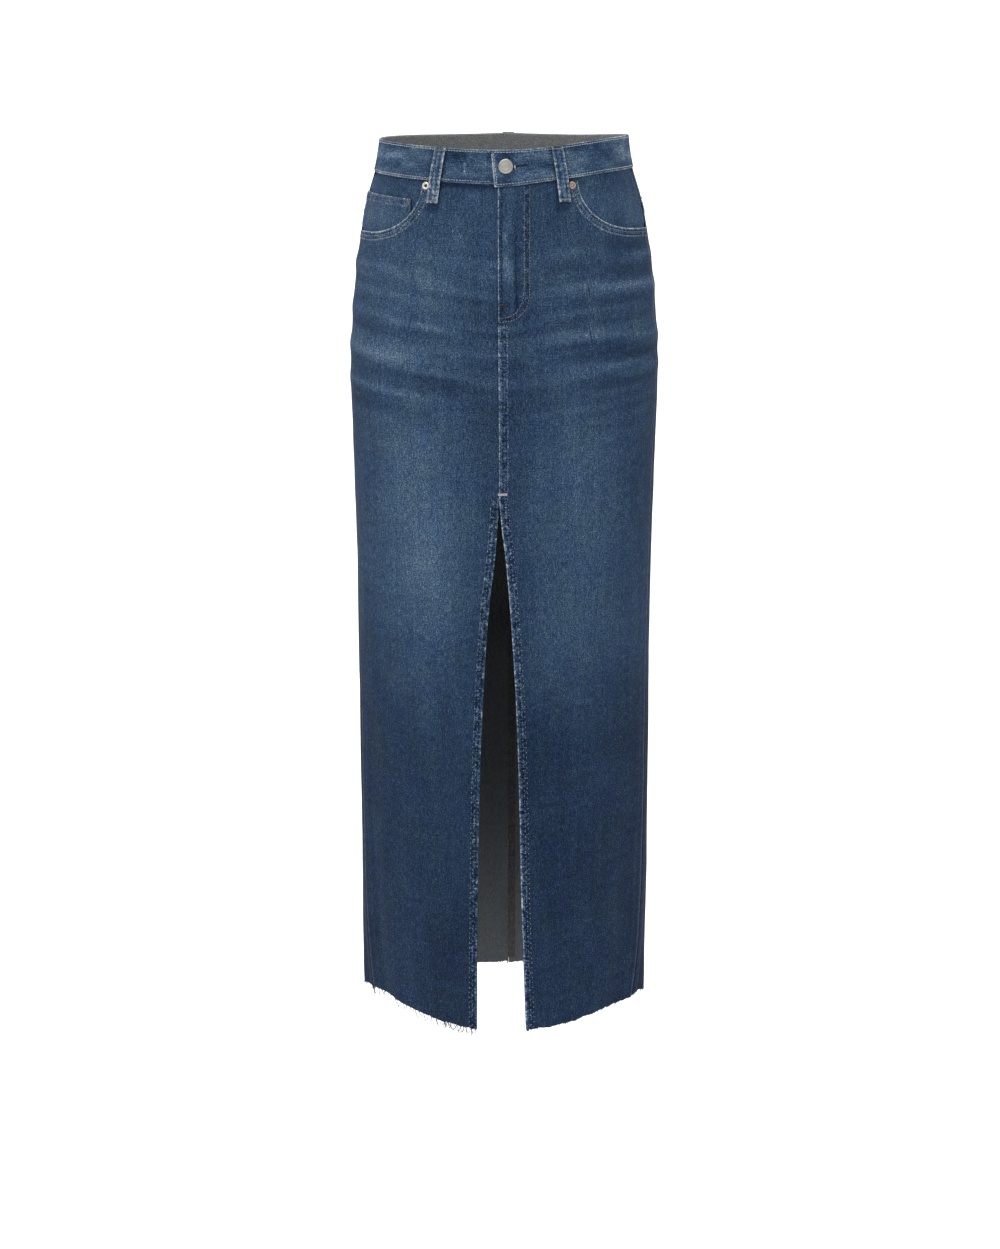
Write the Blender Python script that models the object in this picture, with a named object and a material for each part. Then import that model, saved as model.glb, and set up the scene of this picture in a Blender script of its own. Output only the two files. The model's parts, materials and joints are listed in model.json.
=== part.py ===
"""Denim maxi skirt with a front slit, standing open as it is worn.

Every cloth piece is a thin wall laid on one shared form, the skin. The skin is a stack of plan
sections worked out from the garment's widths and depths. A point on it is named by its distance s
round the section from the centre front (towards the wearer's left, +X) and its height z.
Lengths are in metres, +Z is up and the front faces -Y. The origin is the centre of the waist
opening, halfway up the waistband, where the wearer holds the skirt up.
"""

import math
from collections import namedtuple
from functools import lru_cache

import bmesh
import bpy
import numpy as np
from mathutils import Matrix, Vector

MM = 0.001

# ---------------------------------------------------------------- driving dimensions, in mm

Section = namedtuple("Section", "height half_width front_depth back_depth front_power back_power")
SECTIONS = (
    Section(34, 135.5, 97, 90, 2.05, 2.05),
    Section(0, 140.5, 100, 95, 2.05, 2.05),
    Section(-40, 152.0, 105, 106, 2.08, 2.05),
    Section(-85, 160.0, 109, 118, 2.10, 2.05),
    Section(-150, 168.0, 113, 128, 2.12, 2.05),
    Section(-230, 171.8, 116, 130, 2.12, 2.05),
    Section(-310, 170.0, 119, 125, 2.05, 2.00),
    Section(-400, 167.6, 122, 119, 1.95, 1.95),
    Section(-520, 166.2, 126, 115, 1.80, 1.85),
    Section(-700, 166.0, 133, 114, 1.60, 1.70),
    Section(-850, 166.0, 139, 115, 1.45, 1.60),
    Section(-990, 163.5, 144, 116, 1.36, 1.52),
)
CORNER_ROUNDING = 22  # the cloth can't turn a sharper corner than this stretch allows

# Heights of the waistband's two edges at the centre front, the sides and the centre back.
BAND_TOP_FRONT, BAND_TOP_SIDE, BAND_TOP_BACK = 17, 27, 31
BAND_LEFT_RISE = 5  # it sits a little higher over the wearer's left hip
BAND_HEIGHT = 36.5
LAP_DROOP, LAP_DROOP_REACH = 3.5, 55  # the buttoned end hangs a little lower

HEM_HEIGHT = -964
HEM_SIDE_RISE_RIGHT, HEM_SIDE_RISE_LEFT = 12, 8  # the raw edge runs higher at each side seam
HEM_RIGHT_RISE = 3  # and a little higher on the wearer's right front
HEM_BACK_STEP = 1  # the back panels end above the front ones at the side seams
HEM_BACK_DROP = 2  # and dip at the centre back

CLOTH = 1.2  # one layer of denim
BAND = 2.6  # the waistband's two layers with its turned edges
LOOP = 2.0  # a belt loop, folded in three
GAP = 0.3  # between pieces that touch on the real skirt
LAYER = CLOTH + 1.5 * GAP  # from one pocket layer's middle to the next one's
SeamPlace = namedtuple("SeamPlace", "height before_widest")
SIDE_SEAM = (
    SeamPlace(0, 16),
    SeamPlace(-100, 17),
    SeamPlace(-450, 20),
    SeamPlace(-750, 21),
    SeamPlace(-900, 27),
    SeamPlace(-990, 40),
)

# Centre front: the wearer's left side laps over the right, down to the slit.
LAP_UNDER, LAP_SETTLES = 8, 14  # how far it laps, and how much further it takes to lie flat
CENTRE_START, CENTRE_LEAN = -1.4, 2.4  # the closed seam drifts to +X between the waist and the slit
SLIT_PARTING = 0.6  # the two fronts' edges stay this far apart at the top of the slit
SLIT_TOP = -356
SLIT_HEM_WIDTH = 10
Slit = namedtuple("Slit", "height right_edge left_edge")
SLIT = (
    Slit(SLIT_TOP, CENTRE_START + CENTRE_LEAN, CENTRE_START + CENTRE_LEAN),
    Slit(-391, -1.2, 4.2),
    Slit(-424, -3.8, 8.2),
    Slit(-469, -9.2, 12.4),
    Slit(-514, -12.9, 15.8),
    Slit(-559, -15.7, 18.7),
    Slit(-604, -17.9, 21.0),
    Slit(-696, -21.2, 24.2),
    Slit(-812, -23.2, 27.3),
    Slit(-930, -24.8, 32.6),
    Slit(-990, -25.2, 35.0),
)

# Fly: its width and length below the waist seam, and the height and squareness of its J's turn.
FLY_WIDTH, FLY_LENGTH, FLY_ROUND, FLY_SQUARENESS = 37, 147, 40, 2.6
ZIP_WIDTH, ZIP_LENGTH, ZIP_RIB = 24, 132, 4
ZIP_TAPE_THICKNESS, ZIP_RIB_THICKNESS = 1.0, 2.4

# Front pockets: a quarter ellipse from the rivet to the side seam.
SCOOP_START, SCOOP_WIDTH, SCOOP_DEPTH = 86, 72, 61.5
SCOOP_SIDE_DROP = 3  # the edge runs down a little from there to the side seam
FACING_REACH = 26  # how far the pocket facing carries on behind the front panel
SEAM_ALLOWANCE = 9
COIN_TOP, COIN_DEPTH, COIN_INNER, COIN_OUTER = 21.5, 72, 101, 173

YOKE_SIDE, YOKE_CENTRE = 38, 72  # depth of the back yoke below the waist seam

# Belt loops: where each one's middle is at its top and its bottom, measured from the centre front
# or, for the back ones, from the centre back.
LOOP_WIDTH, LOOP_BELOW_SEAM, LOOP_STAND_OFF = 12.6, 23, 1.8
Loop = namedtuple("Loop", "name at_top at_bottom from_back")
LOOPS = (
    Loop("belt_loop_front_right", -64, -73.7, False),
    Loop("belt_loop_front_left", 61.5, 71.5, False),
    Loop("belt_loop_back_left", -98, -100, True),
    Loop("belt_loop_back_right", 98, 100, True),
    Loop("belt_loop_centre_back", 0, 0, True),
)

BAND_OVERLAP, BAND_UNDERLAP, BAND_SETTLES = 9, 30, 35
BAND_STEPS = 72
BAND_END_SLANT = 4.7  # the buttoned end is cut this much aslant
BUTTON_AT, BUTTON_DIAMETER, BUTTON_HEIGHT = 7, 16.2, 3.0
BUTTON_ABOVE_MIDDLE = 0.5
BUTTONHOLE_LENGTH, BUTTONHOLE_WIDTH, BUTTON_SHANK = 24, 1.2, 6.4
RIVET_DIAMETER = 8.4
Rivet = namedtuple("Rivet", "name at below_seam")
RIVETS = (Rivet("rivet_right", -81.8, 5.6), Rivet("rivet_left", 79.6, 7.4))

# The cloth's largest folds. Each is a soft ridge from s = start to s = end at a height that
# drops by droop on its way.
Fold = namedtuple("Fold", "start end height droop size spread")
FOLDS = (
    Fold(-255, -60, -106, 10, 2.2, 9),
    Fold(-250, -40, -152, 30, 1.6, 10),
    Fold(-262, -20, -192, 34, 2.4, 11),
    Fold(-258, -70, -232, 22, 1.5, 10),
    Fold(48, 240, -100, -6, 1.5, 9),
    Fold(40, 258, -133, -4, 2.2, 9),
    Fold(36, 262, -190, -8, 2.4, 10),
    Fold(30, 260, -221, -5, 2.0, 9),
    Fold(-430, -300, -150, -14, 1.8, 12),
    Fold(300, 430, -178, 16, 1.8, 12),
    Fold(-400, -285, -214, 10, 1.6, 12),
    Fold(290, 420, -232, -12, 1.6, 12),
)
# Long upright troughs beside the stiff side seams: s is measured back from the seam.
Trough = namedtuple("Trough", "side off_seam top bottom size spread")
TROUGHS = (
    Trough(-1, 15, -620, -1000, 2.6, 9),
    Trough(1, 17, -700, -1000, 2.8, 9),
    Trough(-1, -30, -560, -1000, 2.4, 14),
    Trough(1, -34, -600, -1000, 2.2, 14),
)

DENIM = (0.060, 0.115, 0.205, 1.0)
DENIM_WORN = (0.105, 0.175, 0.275, 1.0)
ZIP_TAPE = (0.045, 0.060, 0.095, 1.0)
BUTTON_METAL = (0.52, 0.51, 0.47, 1.0)
RIVET_METAL = (0.62, 0.50, 0.44, 1.0)


# ---------------------------------------------------------------- the form the cloth lies on


def between(low, high, x):
    """0 below low, 1 above high, and a smooth rise from one to the other."""
    t = min(1.0, max(0.0, (x - low) / (high - low)))
    return t * t * (3 - 2 * t)


def smooth_table(rows, height):
    """The rows' other columns at a height, on a smooth curve through the table."""
    heights = np.array([row[0] for row in rows], float)
    values = np.array([row[1:] for row in rows], float)
    slopes = np.gradient(values, heights, axis=0)
    z = min(max(height, heights.min()), heights.max())
    i = min(max(int(np.searchsorted(-heights, -z)) - 1, 0), len(rows) - 2)
    step = heights[i + 1] - heights[i]
    t = (z - heights[i]) / step
    return (
        (1 + 2 * t) * (1 - t) ** 2 * values[i]
        + t * (1 - t) ** 2 * step * slopes[i]
        + t * t * (3 - 2 * t) * values[i + 1]
        + t * t * (t - 1) * step * slopes[i + 1]
    )


@lru_cache(maxsize=None)
def ring(height):
    """The skin's section at a height: points, distance round from the centre front, quarter, half."""
    half_width, front, back, front_power, back_power = smooth_table(SECTIONS, height)
    turn = np.linspace(0, 2 * math.pi, 1441)[:-1]
    sine, cosine = np.sin(turn), np.cos(turn)
    power = np.where(cosine > 0, front_power, back_power)
    depth = np.where(cosine > 0, front, back)
    x = half_width * np.sign(sine) * np.abs(sine) ** (2 / power)
    y = -depth * np.sign(cosine) * np.abs(cosine) ** (2 / power)
    closed = np.column_stack([np.append(x, x[0]), np.append(y, y[0])])
    along = np.append(0, np.cumsum(np.linalg.norm(np.diff(closed, axis=0), axis=1)))
    count = 720
    even = np.linspace(0, along[-1], count, endpoint=False)
    points = np.column_stack([np.interp(even, along, closed[:, k]) for k in (0, 1)])
    reach = int(round(CORNER_ROUNDING / along[-1] * count))
    weights = np.hanning(2 * reach + 3)[1:-1]
    weights /= weights.sum()
    wrapped = np.vstack([points[-reach:], points, points[:reach]])
    points = np.column_stack([np.convolve(wrapped[:, k], weights, "valid") for k in (0, 1)])
    points[:, 0] *= half_width / np.abs(points[:, 0]).max()
    is_front = points[:, 1] < 0
    points[is_front, 1] *= front / -points[:, 1].min()
    points[~is_front, 1] *= back / points[:, 1].max()
    points = np.vstack([points, points[:1]])
    along = np.append(0, np.cumsum(np.linalg.norm(np.diff(points, axis=0), axis=1)))
    first_quarters = points[: count // 2, 1]
    behind = int(np.argmax(first_quarters > 0))
    share = first_quarters[behind - 1] / (first_quarters[behind - 1] - first_quarters[behind])
    quarter = along[behind - 1] + share * (along[behind] - along[behind - 1])
    return points, along, quarter, along[-1] / 2


def quarter_length(height):
    """Distance round from the centre front to the widest point."""
    return ring(height)[2]


def half_length(height):
    """Distance round from the centre front to the centre back."""
    return ring(height)[3]


def side_seam(height):
    """Distance round from the centre front to the side seam."""
    return quarter_length(height) - smooth_table(SIDE_SEAM, height)[0]


def fold_height(s, height):
    """How far the folds push the cloth out at a place."""
    total = 0.0
    for fold in FOLDS:
        share = (s - fold.start) / (fold.end - fold.start)
        if 0 < share < 1:
            crest = fold.height - fold.droop * (share if fold.start < 0 else 1 - share)
            across = math.exp(-(((height - crest) / fold.spread) ** 2))
            total += fold.size * across * math.sin(math.pi * share) ** 0.7
    for trough in TROUGHS:
        away = s * trough.side - side_seam(height) - trough.off_seam
        grown = between(trough.top, trough.top - 260, height)
        total -= trough.size * grown * math.exp(-((away / trough.spread) ** 2))
    return total


def bare_skin(s, height):
    """A point of the smooth form."""
    points, along, _, half = ring(round(height, 3))
    around = s % (2 * half)
    return Vector((np.interp(around, along, points[:, 0]), np.interp(around, along, points[:, 1]), height))


def skin_normal(s, height):
    """The form's outward direction."""
    level = bare_skin(s + 2, height) - bare_skin(s - 2, height)
    upright = bare_skin(s, height + 4) - bare_skin(s, height - 4)
    return level.cross(upright).normalized()


def skin(s, height, out):
    """A point that lies out from the cloth's middle surface."""
    signed = (s + half_length(round(height, 3))) % (2 * half_length(round(height, 3)))
    signed -= half_length(round(height, 3))
    return bare_skin(s, height) + skin_normal(s, height) * (out + fold_height(signed, height))


def round_height(front, side, back, s, height=0):
    """A height that runs smoothly from the centre front over the side to the centre back."""
    half = half_length(height)
    share = abs(((s + half) % (2 * half)) - half) / half
    wave = (1 - math.cos(2 * math.pi * share)) / 2
    middle = front + (back - front) * share**1.5
    return middle + wave * (side - front - (back - front) * 0.5**1.5)


def band_top(s):
    left_front = between(10, 135, s) * (1 - between(145, 300, s))
    return round_height(BAND_TOP_FRONT, BAND_TOP_SIDE, BAND_TOP_BACK, s) + BAND_LEFT_RISE * left_front


def lap_droop(run):
    """How far the waistband's buttoned end hangs below the line of the waist seam."""
    return LAP_DROOP * (1 - between(-BAND_OVERLAP, LAP_DROOP_REACH, run))


def waist_seam(s):
    return band_top(s) - BAND_HEIGHT


def centre_front(height):
    """Where the lapped centre seam runs."""
    return CENTRE_START + CENTRE_LEAN * between(0, SLIT_TOP, height)


def slit_edges(height):
    """Distances round to the slit's edges: the wearer's right panel's, then the left's."""
    return smooth_table(SLIT, height)


def hem(s, seam):
    """Height of the raw hem, which rises towards the side seam."""
    away = abs(s) - seam
    near_seam = between(-0.65 * seam, 0, away) * (1 - between(0, 0.7 * seam, away))
    right_front = HEM_RIGHT_RISE if s < 0 and away < 0 else 0
    rise = HEM_SIDE_RISE_RIGHT if s < 0 else HEM_SIDE_RISE_LEFT
    rise += HEM_BACK_STEP if away > 0 else 0
    back_drop = HEM_BACK_DROP * between(0, 0.7 * seam, away)
    return HEM_HEIGHT + rise * near_seam + right_front * between(0, 60, -s) - back_drop


# ---------------------------------------------------------------- making solids


def add_object(name, mesh, material):
    """Links a mesh to the scene as a named, shaded object."""
    mesh.materials.append(material)
    made = bpy.data.objects.new(name, mesh)
    bpy.context.scene.collection.objects.link(made)
    mesh.shade_smooth()
    mesh.set_sharp_from_angle(angle=math.radians(40))
    return made


def cloth_wall(name, material, places, outside, inside):
    """A closed wall from a grid of places (s, height), between two distances from the skin.

    places is a list of columns. Outside and inside are functions of (s, height), in mm.
    """
    columns, rows = len(places), len(places[0])
    built = bmesh.new()
    layers = [
        [[built.verts.new(skin(s, z, out(s, z)) * MM) for s, z in column] for column in places]
        for out in (outside, inside)
    ]
    outer, inner = layers
    for i in range(columns - 1):
        for j in range(rows - 1):
            for layer in layers:
                built.faces.new(
                    (layer[i][j], layer[i + 1][j], layer[i + 1][j + 1], layer[i][j + 1])
                )
    for i in range(columns - 1):
        for j in (0, rows - 1):
            built.faces.new((outer[i][j], outer[i + 1][j], inner[i + 1][j], inner[i][j]))
    for j in range(rows - 1):
        for i in (0, columns - 1):
            built.faces.new((outer[i][j], outer[i][j + 1], inner[i][j + 1], inner[i][j]))
    bmesh.ops.recalc_face_normals(built, faces=built.faces)
    mesh = bpy.data.meshes.new(name)
    built.to_mesh(mesh)
    built.free()
    return add_object(name, mesh, material)


def turned(name, material, profile, steps, at, facing):
    """A solid turned from a profile of (radius, height), standing on a place and facing outwards."""
    built = bmesh.new()
    path = [built.verts.new((radius * MM, 0, height * MM)) for radius, height in profile]
    edges = [built.edges.new(pair) for pair in zip(path, path[1:])]
    bmesh.ops.spin(
        built, geom=path + edges, cent=(0, 0, 0), axis=(0, 0, 1), angle=2 * math.pi, steps=steps
    )
    bmesh.ops.remove_doubles(built, verts=built.verts, dist=0.01 * MM)
    bmesh.ops.recalc_face_normals(built, faces=built.faces)
    mesh = bpy.data.meshes.new(name)
    built.to_mesh(mesh)
    built.free()
    made = add_object(name, mesh, material)
    made.matrix_world = Matrix.Translation(at * MM) @ facing.to_track_quat("Z", "Y").to_matrix().to_4x4()
    return made


def cloth_material(name, colour, roughness=0.9, metallic=0.0):
    made = bpy.data.materials.new(name)
    made.use_nodes = True
    shader = made.node_tree.nodes["Principled BSDF"]
    shader.inputs["Base Color"].default_value = colour
    shader.inputs["Roughness"].default_value = roughness
    shader.inputs["Metallic"].default_value = metallic
    return made


def level(distance):
    """The same distance from the skin everywhere."""
    return lambda s, z: distance


# ---------------------------------------------------------------- skirt panels

# Heights of the panels' rows. They are shared, so that neighbours meet edge to edge.
FOLD_ROWS = [-94 - 13 * k for k in range(13)]
LOWER_ROWS = [-280, -318, SLIT_TOP, -391, -424, -469, -514, -559, -604, -696, -770, -850, -920]
SHARED_ROWS = FOLD_ROWS + LOWER_ROWS
SCOOP_TURNS = [math.radians(a) for a in (0, 12, 25, 37, 49, 61, 75, 90)]
FRONT_PLACES = (
    [0, SLIT_HEM_WIDTH, SLIT_HEM_WIDTH + 2.5, 37, 62]
    + [SCOOP_START + SCOOP_WIDTH * (1 - math.cos(turn)) for turn in SCOOP_TURNS]
    + [SCOOP_START + SCOOP_WIDTH + 11, SCOOP_START + SCOOP_WIDTH + 22, None]
)
BACK_SHARES = (0, 0.037, 0.10, 0.19, 0.29, 0.41, 0.54, 0.68, 0.82, 0.93, 1)


def lap_lift(s, z):
    """How far the wearer's left front stands out where it lies on the right front."""
    past_lap = s - centre_front(z) - LAP_UNDER - 3
    across = 1 - between(0, LAP_SETTLES, past_lap)
    return (CLOTH + GAP) * across * between(SLIT_TOP - 70, SLIT_TOP - 4, z)


def scoop_height(s, seam_height):
    """Height of the pocket opening's edge, or of the waist seam between the openings."""
    reach = abs(s) - SCOOP_START
    if reach <= 0:
        return seam_height
    share = min(1.0, reach / SCOOP_WIDTH)
    side_drop = SCOOP_SIDE_DROP * between(0.7 * SCOOP_WIDTH, 1.4 * SCOOP_WIDTH, reach)
    return seam_height - SCOOP_DEPTH * math.sqrt(1 - (1 - share) ** 2) - side_drop


def front_place(side, inner_edge, i, z):
    """Distance round for the i-th column of a front panel, from its centre edge to the side."""
    start = inner_edge(z) * side
    end = side_seam(z) - GAP / 2
    if FRONT_PLACES[i] is None:
        return side * end
    if i <= 2:  # these follow the slit's turned hem
        return side * (start + FRONT_PLACES[i])
    if z > SHARED_ROWS[0]:
        return side * FRONT_PLACES[i]
    start = max(0, start)
    return side * (start + FRONT_PLACES[i] / side_seam(SHARED_ROWS[0]) * (end - start))


def front_columns(side, inner_edge):
    """Columns of a front panel's grid."""
    columns = []
    for i in range(len(FRONT_PLACES)):
        top = -30.0
        for _ in range(6):
            s = front_place(side, inner_edge, i, top)
            seam = waist_seam(s) - (lap_droop(s) if side > 0 else 0)
            top = scoop_height(s, seam) - GAP / 2
        upper = [top + (SHARED_ROWS[0] - top) * k / 4 for k in range(4)]
        last = hem(front_place(side, inner_edge, i, HEM_HEIGHT), side_seam(HEM_HEIGHT))
        heights = upper + SHARED_ROWS + [last]
        columns.append([(front_place(side, inner_edge, i, z), z) for z in heights])
    return columns


def slit_hem_inside(edge, side):
    """Inner face of a front panel: one layer, or two where the slit's hem is turned in."""

    def distance(s, z):
        near = (s - edge(z)) * side < SLIT_HEM_WIDTH + 0.01
        turned_in = near and z < SLIT_TOP - 2
        return -CLOTH / 2 - (CLOTH if turned_in else 0)

    return distance


def front_right(material):
    def edge(z):
        if z >= SLIT_TOP:
            under = (LAP_UNDER + SLIT_PARTING) * between(SLIT_TOP + 4, SLIT_TOP + 40, z)
            return centre_front(z) - SLIT_PARTING + under
        return slit_edges(z)[0] - SLIT_PARTING * between(SLIT_TOP - 60, SLIT_TOP, z)

    inside = slit_hem_inside(edge, -1)
    cloth_wall("front_right", material, front_columns(-1, edge), level(CLOTH / 2), inside)


def front_left(material):
    def edge(z):
        return centre_front(z) if z >= SLIT_TOP else slit_edges(z)[1]

    hem_inside = slit_hem_inside(edge, 1)
    cloth_wall(
        "front_left",
        material,
        front_columns(1, edge),
        lambda s, z: CLOTH / 2 + lap_lift(s, z),
        lambda s, z: hem_inside(s, z) + lap_lift(s, z),
    )


def yoke_seam(s):
    """Height of the seam under the yoke, which dips to the centre back."""
    seam, half = side_seam(-50), half_length(-50)
    share = (abs(s) - seam) / (half - seam)
    depth = YOKE_SIDE + (YOKE_CENTRE - YOKE_SIDE) * share
    return waist_seam(s) - depth


def back_place(side, share, z):
    """Distance round for a share of a back panel, from the side seam to the centre back."""
    start, end = side_seam(z) + GAP / 2, half_length(z) - GAP / 2
    return side * (start + share * (end - start))


def meeting_height(place, seam):
    """Height where a column crosses a seam. Both are functions, of height and of distance round."""
    height = -30.0
    for _ in range(5):
        height = seam(place(height))
    return height


def back_panel(name, side, material):
    columns = []
    for share in BACK_SHARES:
        top = meeting_height(lambda z: back_place(side, share, z), yoke_seam) - GAP / 2
        last = hem(back_place(side, share, HEM_HEIGHT), side_seam(HEM_HEIGHT))
        heights = [top, (top + SHARED_ROWS[0]) / 2] + SHARED_ROWS + [last]
        columns.append([(back_place(side, share, z), z) for z in heights])
    cloth_wall(name, material, columns, level(CLOTH / 2), level(-CLOTH / 2))


def yoke(name, side, material):
    columns = []
    for share in BACK_SHARES:
        top = meeting_height(lambda z: back_place(side, share, z), waist_seam) - GAP / 2
        bottom = meeting_height(lambda z: back_place(side, share, z), yoke_seam) + GAP / 2
        heights = [top + (bottom - top) * j / 3 for j in range(4)]
        columns.append([(back_place(side, share, z), z) for z in heights])
    cloth_wall(name, material, columns, level(CLOTH / 2), level(-CLOTH / 2))


# ---------------------------------------------------------------- fly, pockets and waistband


def fly_facing(material):
    """The J-shaped layer that the fly's stitching catches, behind the left front."""
    columns = []
    inner = LAP_UNDER + GAP + 0.6
    for across in (inner, 16, 24, 32, FLY_WIDTH):
        curve = (1 - (across / FLY_WIDTH) ** FLY_SQUARENESS) ** (1 / FLY_SQUARENESS)
        top = waist_seam(across) + SEAM_ALLOWANCE
        bottom = waist_seam(0) - FLY_LENGTH + FLY_ROUND * (1 - curve)
        heights = [top + (bottom - top) * j / 9 for j in range(10)]
        columns.append([(centre_front(z) + across, z) for z in heights])
    cloth_wall("fly_facing", material, columns, level(-CLOTH / 2 - GAP), level(-1.5 * CLOTH - GAP))


def zip_fastener(material):
    """The closed zip behind the fly: two tapes with the rib of the teeth between them."""
    middle = LAP_UNDER + 1
    outer_face = -1.5 * CLOTH - 2 * GAP
    offsets = [-ZIP_WIDTH / 2, -ZIP_RIB / 2 - 0.6, -ZIP_RIB / 2, ZIP_RIB / 2, ZIP_RIB / 2 + 0.6, ZIP_WIDTH / 2]
    columns = []
    for offset in offsets:
        top = waist_seam(middle) + SEAM_ALLOWANCE / 2
        heights = [top - (ZIP_LENGTH + SEAM_ALLOWANCE / 2) * j / 9 for j in range(10)]
        columns.append([(centre_front(z) + middle + offset, z) for z in heights])

    def inside(s, z):
        on_rib = abs(s - centre_front(z) - middle) < ZIP_RIB / 2 + 0.1
        return outer_face - (ZIP_RIB_THICKNESS if on_rib else ZIP_TAPE_THICKNESS)

    cloth_wall("zip", material, columns, level(outer_face), inside)


def scoop_columns(side, first, last):
    """Columns of the front panel beside the pocket, from one of its places to another."""
    places = [p for p in FRONT_PLACES if p is not None and first <= p <= last]
    return [lambda z, p=p: side * p for p in places]


def pocket_facing(name, side, material, depth):
    """The hip piece that shows in the pocket opening, tucked behind its neighbours."""
    places = scoop_columns(side, SCOOP_START - FACING_REACH, 999)
    for beyond in (0, SEAM_ALLOWANCE):
        places.append(lambda z, beyond=beyond: side * (side_seam(z) + beyond))
    columns = []
    for place in places:
        seam = waist_seam(place(-20))
        bottom = scoop_height(place(-80), seam) - FACING_REACH * 0.75
        heights = [seam + SEAM_ALLOWANCE] + [seam + (bottom - seam) * j / 5 for j in range(6)]
        columns.append([(place(z), z) for z in heights])
    cloth_wall(name, material, columns, level(depth + CLOTH / 2), level(depth - CLOTH / 2))


def coin_pocket(material, depth):
    """The small pocket on the right facing."""
    columns = []
    for place in scoop_columns(-1, COIN_INNER, COIN_OUTER):
        top = waist_seam(place(0)) - COIN_TOP
        heights = [top - (COIN_DEPTH - COIN_TOP) * j / 4 for j in range(5)]
        columns.append([(place(z), z) for z in heights])
    cloth_wall("coin_pocket", material, columns, level(depth + CLOTH / 2), level(depth - CLOTH / 2))


BAND_INSIDE = -CLOTH / 2
BAND_OUTSIDE = BAND_INSIDE + BAND


def band_lift(run):
    """How far the waistband's buttoned end stands out; run is measured from the centre front."""
    if run < -BAND_OVERLAP:
        return 0.0
    return (BAND + GAP) * (1 - between(0, BAND_SETTLES, run - BAND_UNDERLAP - 3))


def waistband(material):
    """One strip right round, whose button-hole end lies on its button end."""
    columns, lifts = [], {}
    full = 2 * half_length(0)
    for k in range(BAND_STEPS + 1):
        run = -BAND_OVERLAP + k / BAND_STEPS * (full + BAND_OVERLAP + BAND_UNDERLAP)
        turns = 1 if run > full / 2 else 0
        column = []
        for j in range(4):
            slant = BAND_END_SLANT * j / 3 if k == 0 else 0
            s = run - turns * full
            for _ in range(3):
                bottom = waist_seam(s) + GAP / 2 - (0 if turns else lap_droop(run))
                z = band_top(s) + (bottom - band_top(s)) * j / 3
                s = (run - turns * full) * half_length(z) / half_length(0)
            s += turns * 2 * half_length(z)
            lifts[(s + slant, z)] = band_lift(run)
            column.append((s + slant, z))
        columns.append(column)
    band = cloth_wall(
        "waistband",
        material,
        columns,
        lambda s, z: BAND_OUTSIDE + lifts[(s, z)],
        lambda s, z: BAND_INSIDE + lifts[(s, z)],
    )
    cut_buttonhole(band)


def button_place():
    """Middle of the button on the skin, and the way it faces."""
    z = (band_top(0) + waist_seam(0)) / 2 + BUTTON_ABOVE_MIDDLE
    return bare_skin(BUTTON_AT, z), skin_normal(BUTTON_AT, z)


def cut_buttonhole(band):
    """A keyhole through the waistband's outer end: a round eye with a slit beside it."""
    at, facing = button_place()
    eye = BUTTON_SHANK / 2 + 0.5
    outline = [
        (eye * math.cos(a), eye * math.sin(a))
        for a in (math.radians(12 + 336 * k / 20) for k in range(21))
    ]
    half = BUTTONHOLE_WIDTH / 2
    outline = [(BUTTONHOLE_LENGTH, half)] + outline + [(BUTTONHOLE_LENGTH, -half)]
    built = bmesh.new()
    start = (BAND_OUTSIDE + GAP / 2) * MM
    face = built.faces.new([built.verts.new((x * MM, y * MM, start)) for x, y in outline])
    solid = bmesh.ops.extrude_face_region(built, geom=[face])
    moved = [v for v in solid["geom"] if isinstance(v, bmesh.types.BMVert)]
    bmesh.ops.translate(built, verts=moved, vec=(0, 0, 2 * BAND * MM))
    bmesh.ops.recalc_face_normals(built, faces=built.faces)
    mesh = bpy.data.meshes.new("buttonhole_cutter")
    built.to_mesh(mesh)
    built.free()
    cutter = bpy.data.objects.new("buttonhole_cutter", mesh)
    bpy.context.scene.collection.objects.link(cutter)
    across = Vector((0, 0, 1)).cross(facing).normalized()
    frame = Matrix((across, facing.cross(across), facing)).transposed().to_4x4()
    cutter.matrix_world = Matrix.Translation(at * MM) @ frame
    cutter.hide_render = True
    cutter.display_type = "WIRE"
    boolean = band.modifiers.new("buttonhole", "BOOLEAN")
    boolean.object = cutter
    boolean.operation = "DIFFERENCE"
    boolean.solver = "EXACT"


def button(material):
    """A tack button: a dished cap on a shank that stands on the waistband's under end."""
    at, facing = button_place()
    base = BAND_OUTSIDE + GAP
    cap = BAND_OUTSIDE + BAND + GAP + 0.5
    r = BUTTON_DIAMETER / 2
    profile = (
        (0, base),
        (BUTTON_SHANK / 2, base),
        (BUTTON_SHANK / 2, cap),
        (r - 0.5, cap),
        (r, cap + 0.8),
        (r - 0.4, cap + BUTTON_HEIGHT - 0.6),
        (r - 1.3, cap + BUTTON_HEIGHT),
        (r - 2.2, cap + BUTTON_HEIGHT - 0.5),
        (0, cap + BUTTON_HEIGHT - 0.3),
    )
    turned("button", material, profile, 28, at, facing)


def rivet_head(rivet, material):
    """A burr rivet's head: a round ring with a nipple in its middle."""
    s = rivet.at
    z = waist_seam(s) - rivet.below_seam
    base = CLOTH / 2 + GAP
    r = RIVET_DIAMETER / 2
    profile = (
        (0, base),
        (r - 0.3, base),
        (r, base + 0.5),
        (r - 0.8, base + 1.4),
        (r * 0.55, base + 1.3),
        (r * 0.38, base + 0.7),
        (r * 0.25, base + 1.5),
        (0, base + 1.6),
    )
    turned(rivet.name, material, profile, 18, skin(s, z, 0), skin_normal(s, z))


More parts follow.
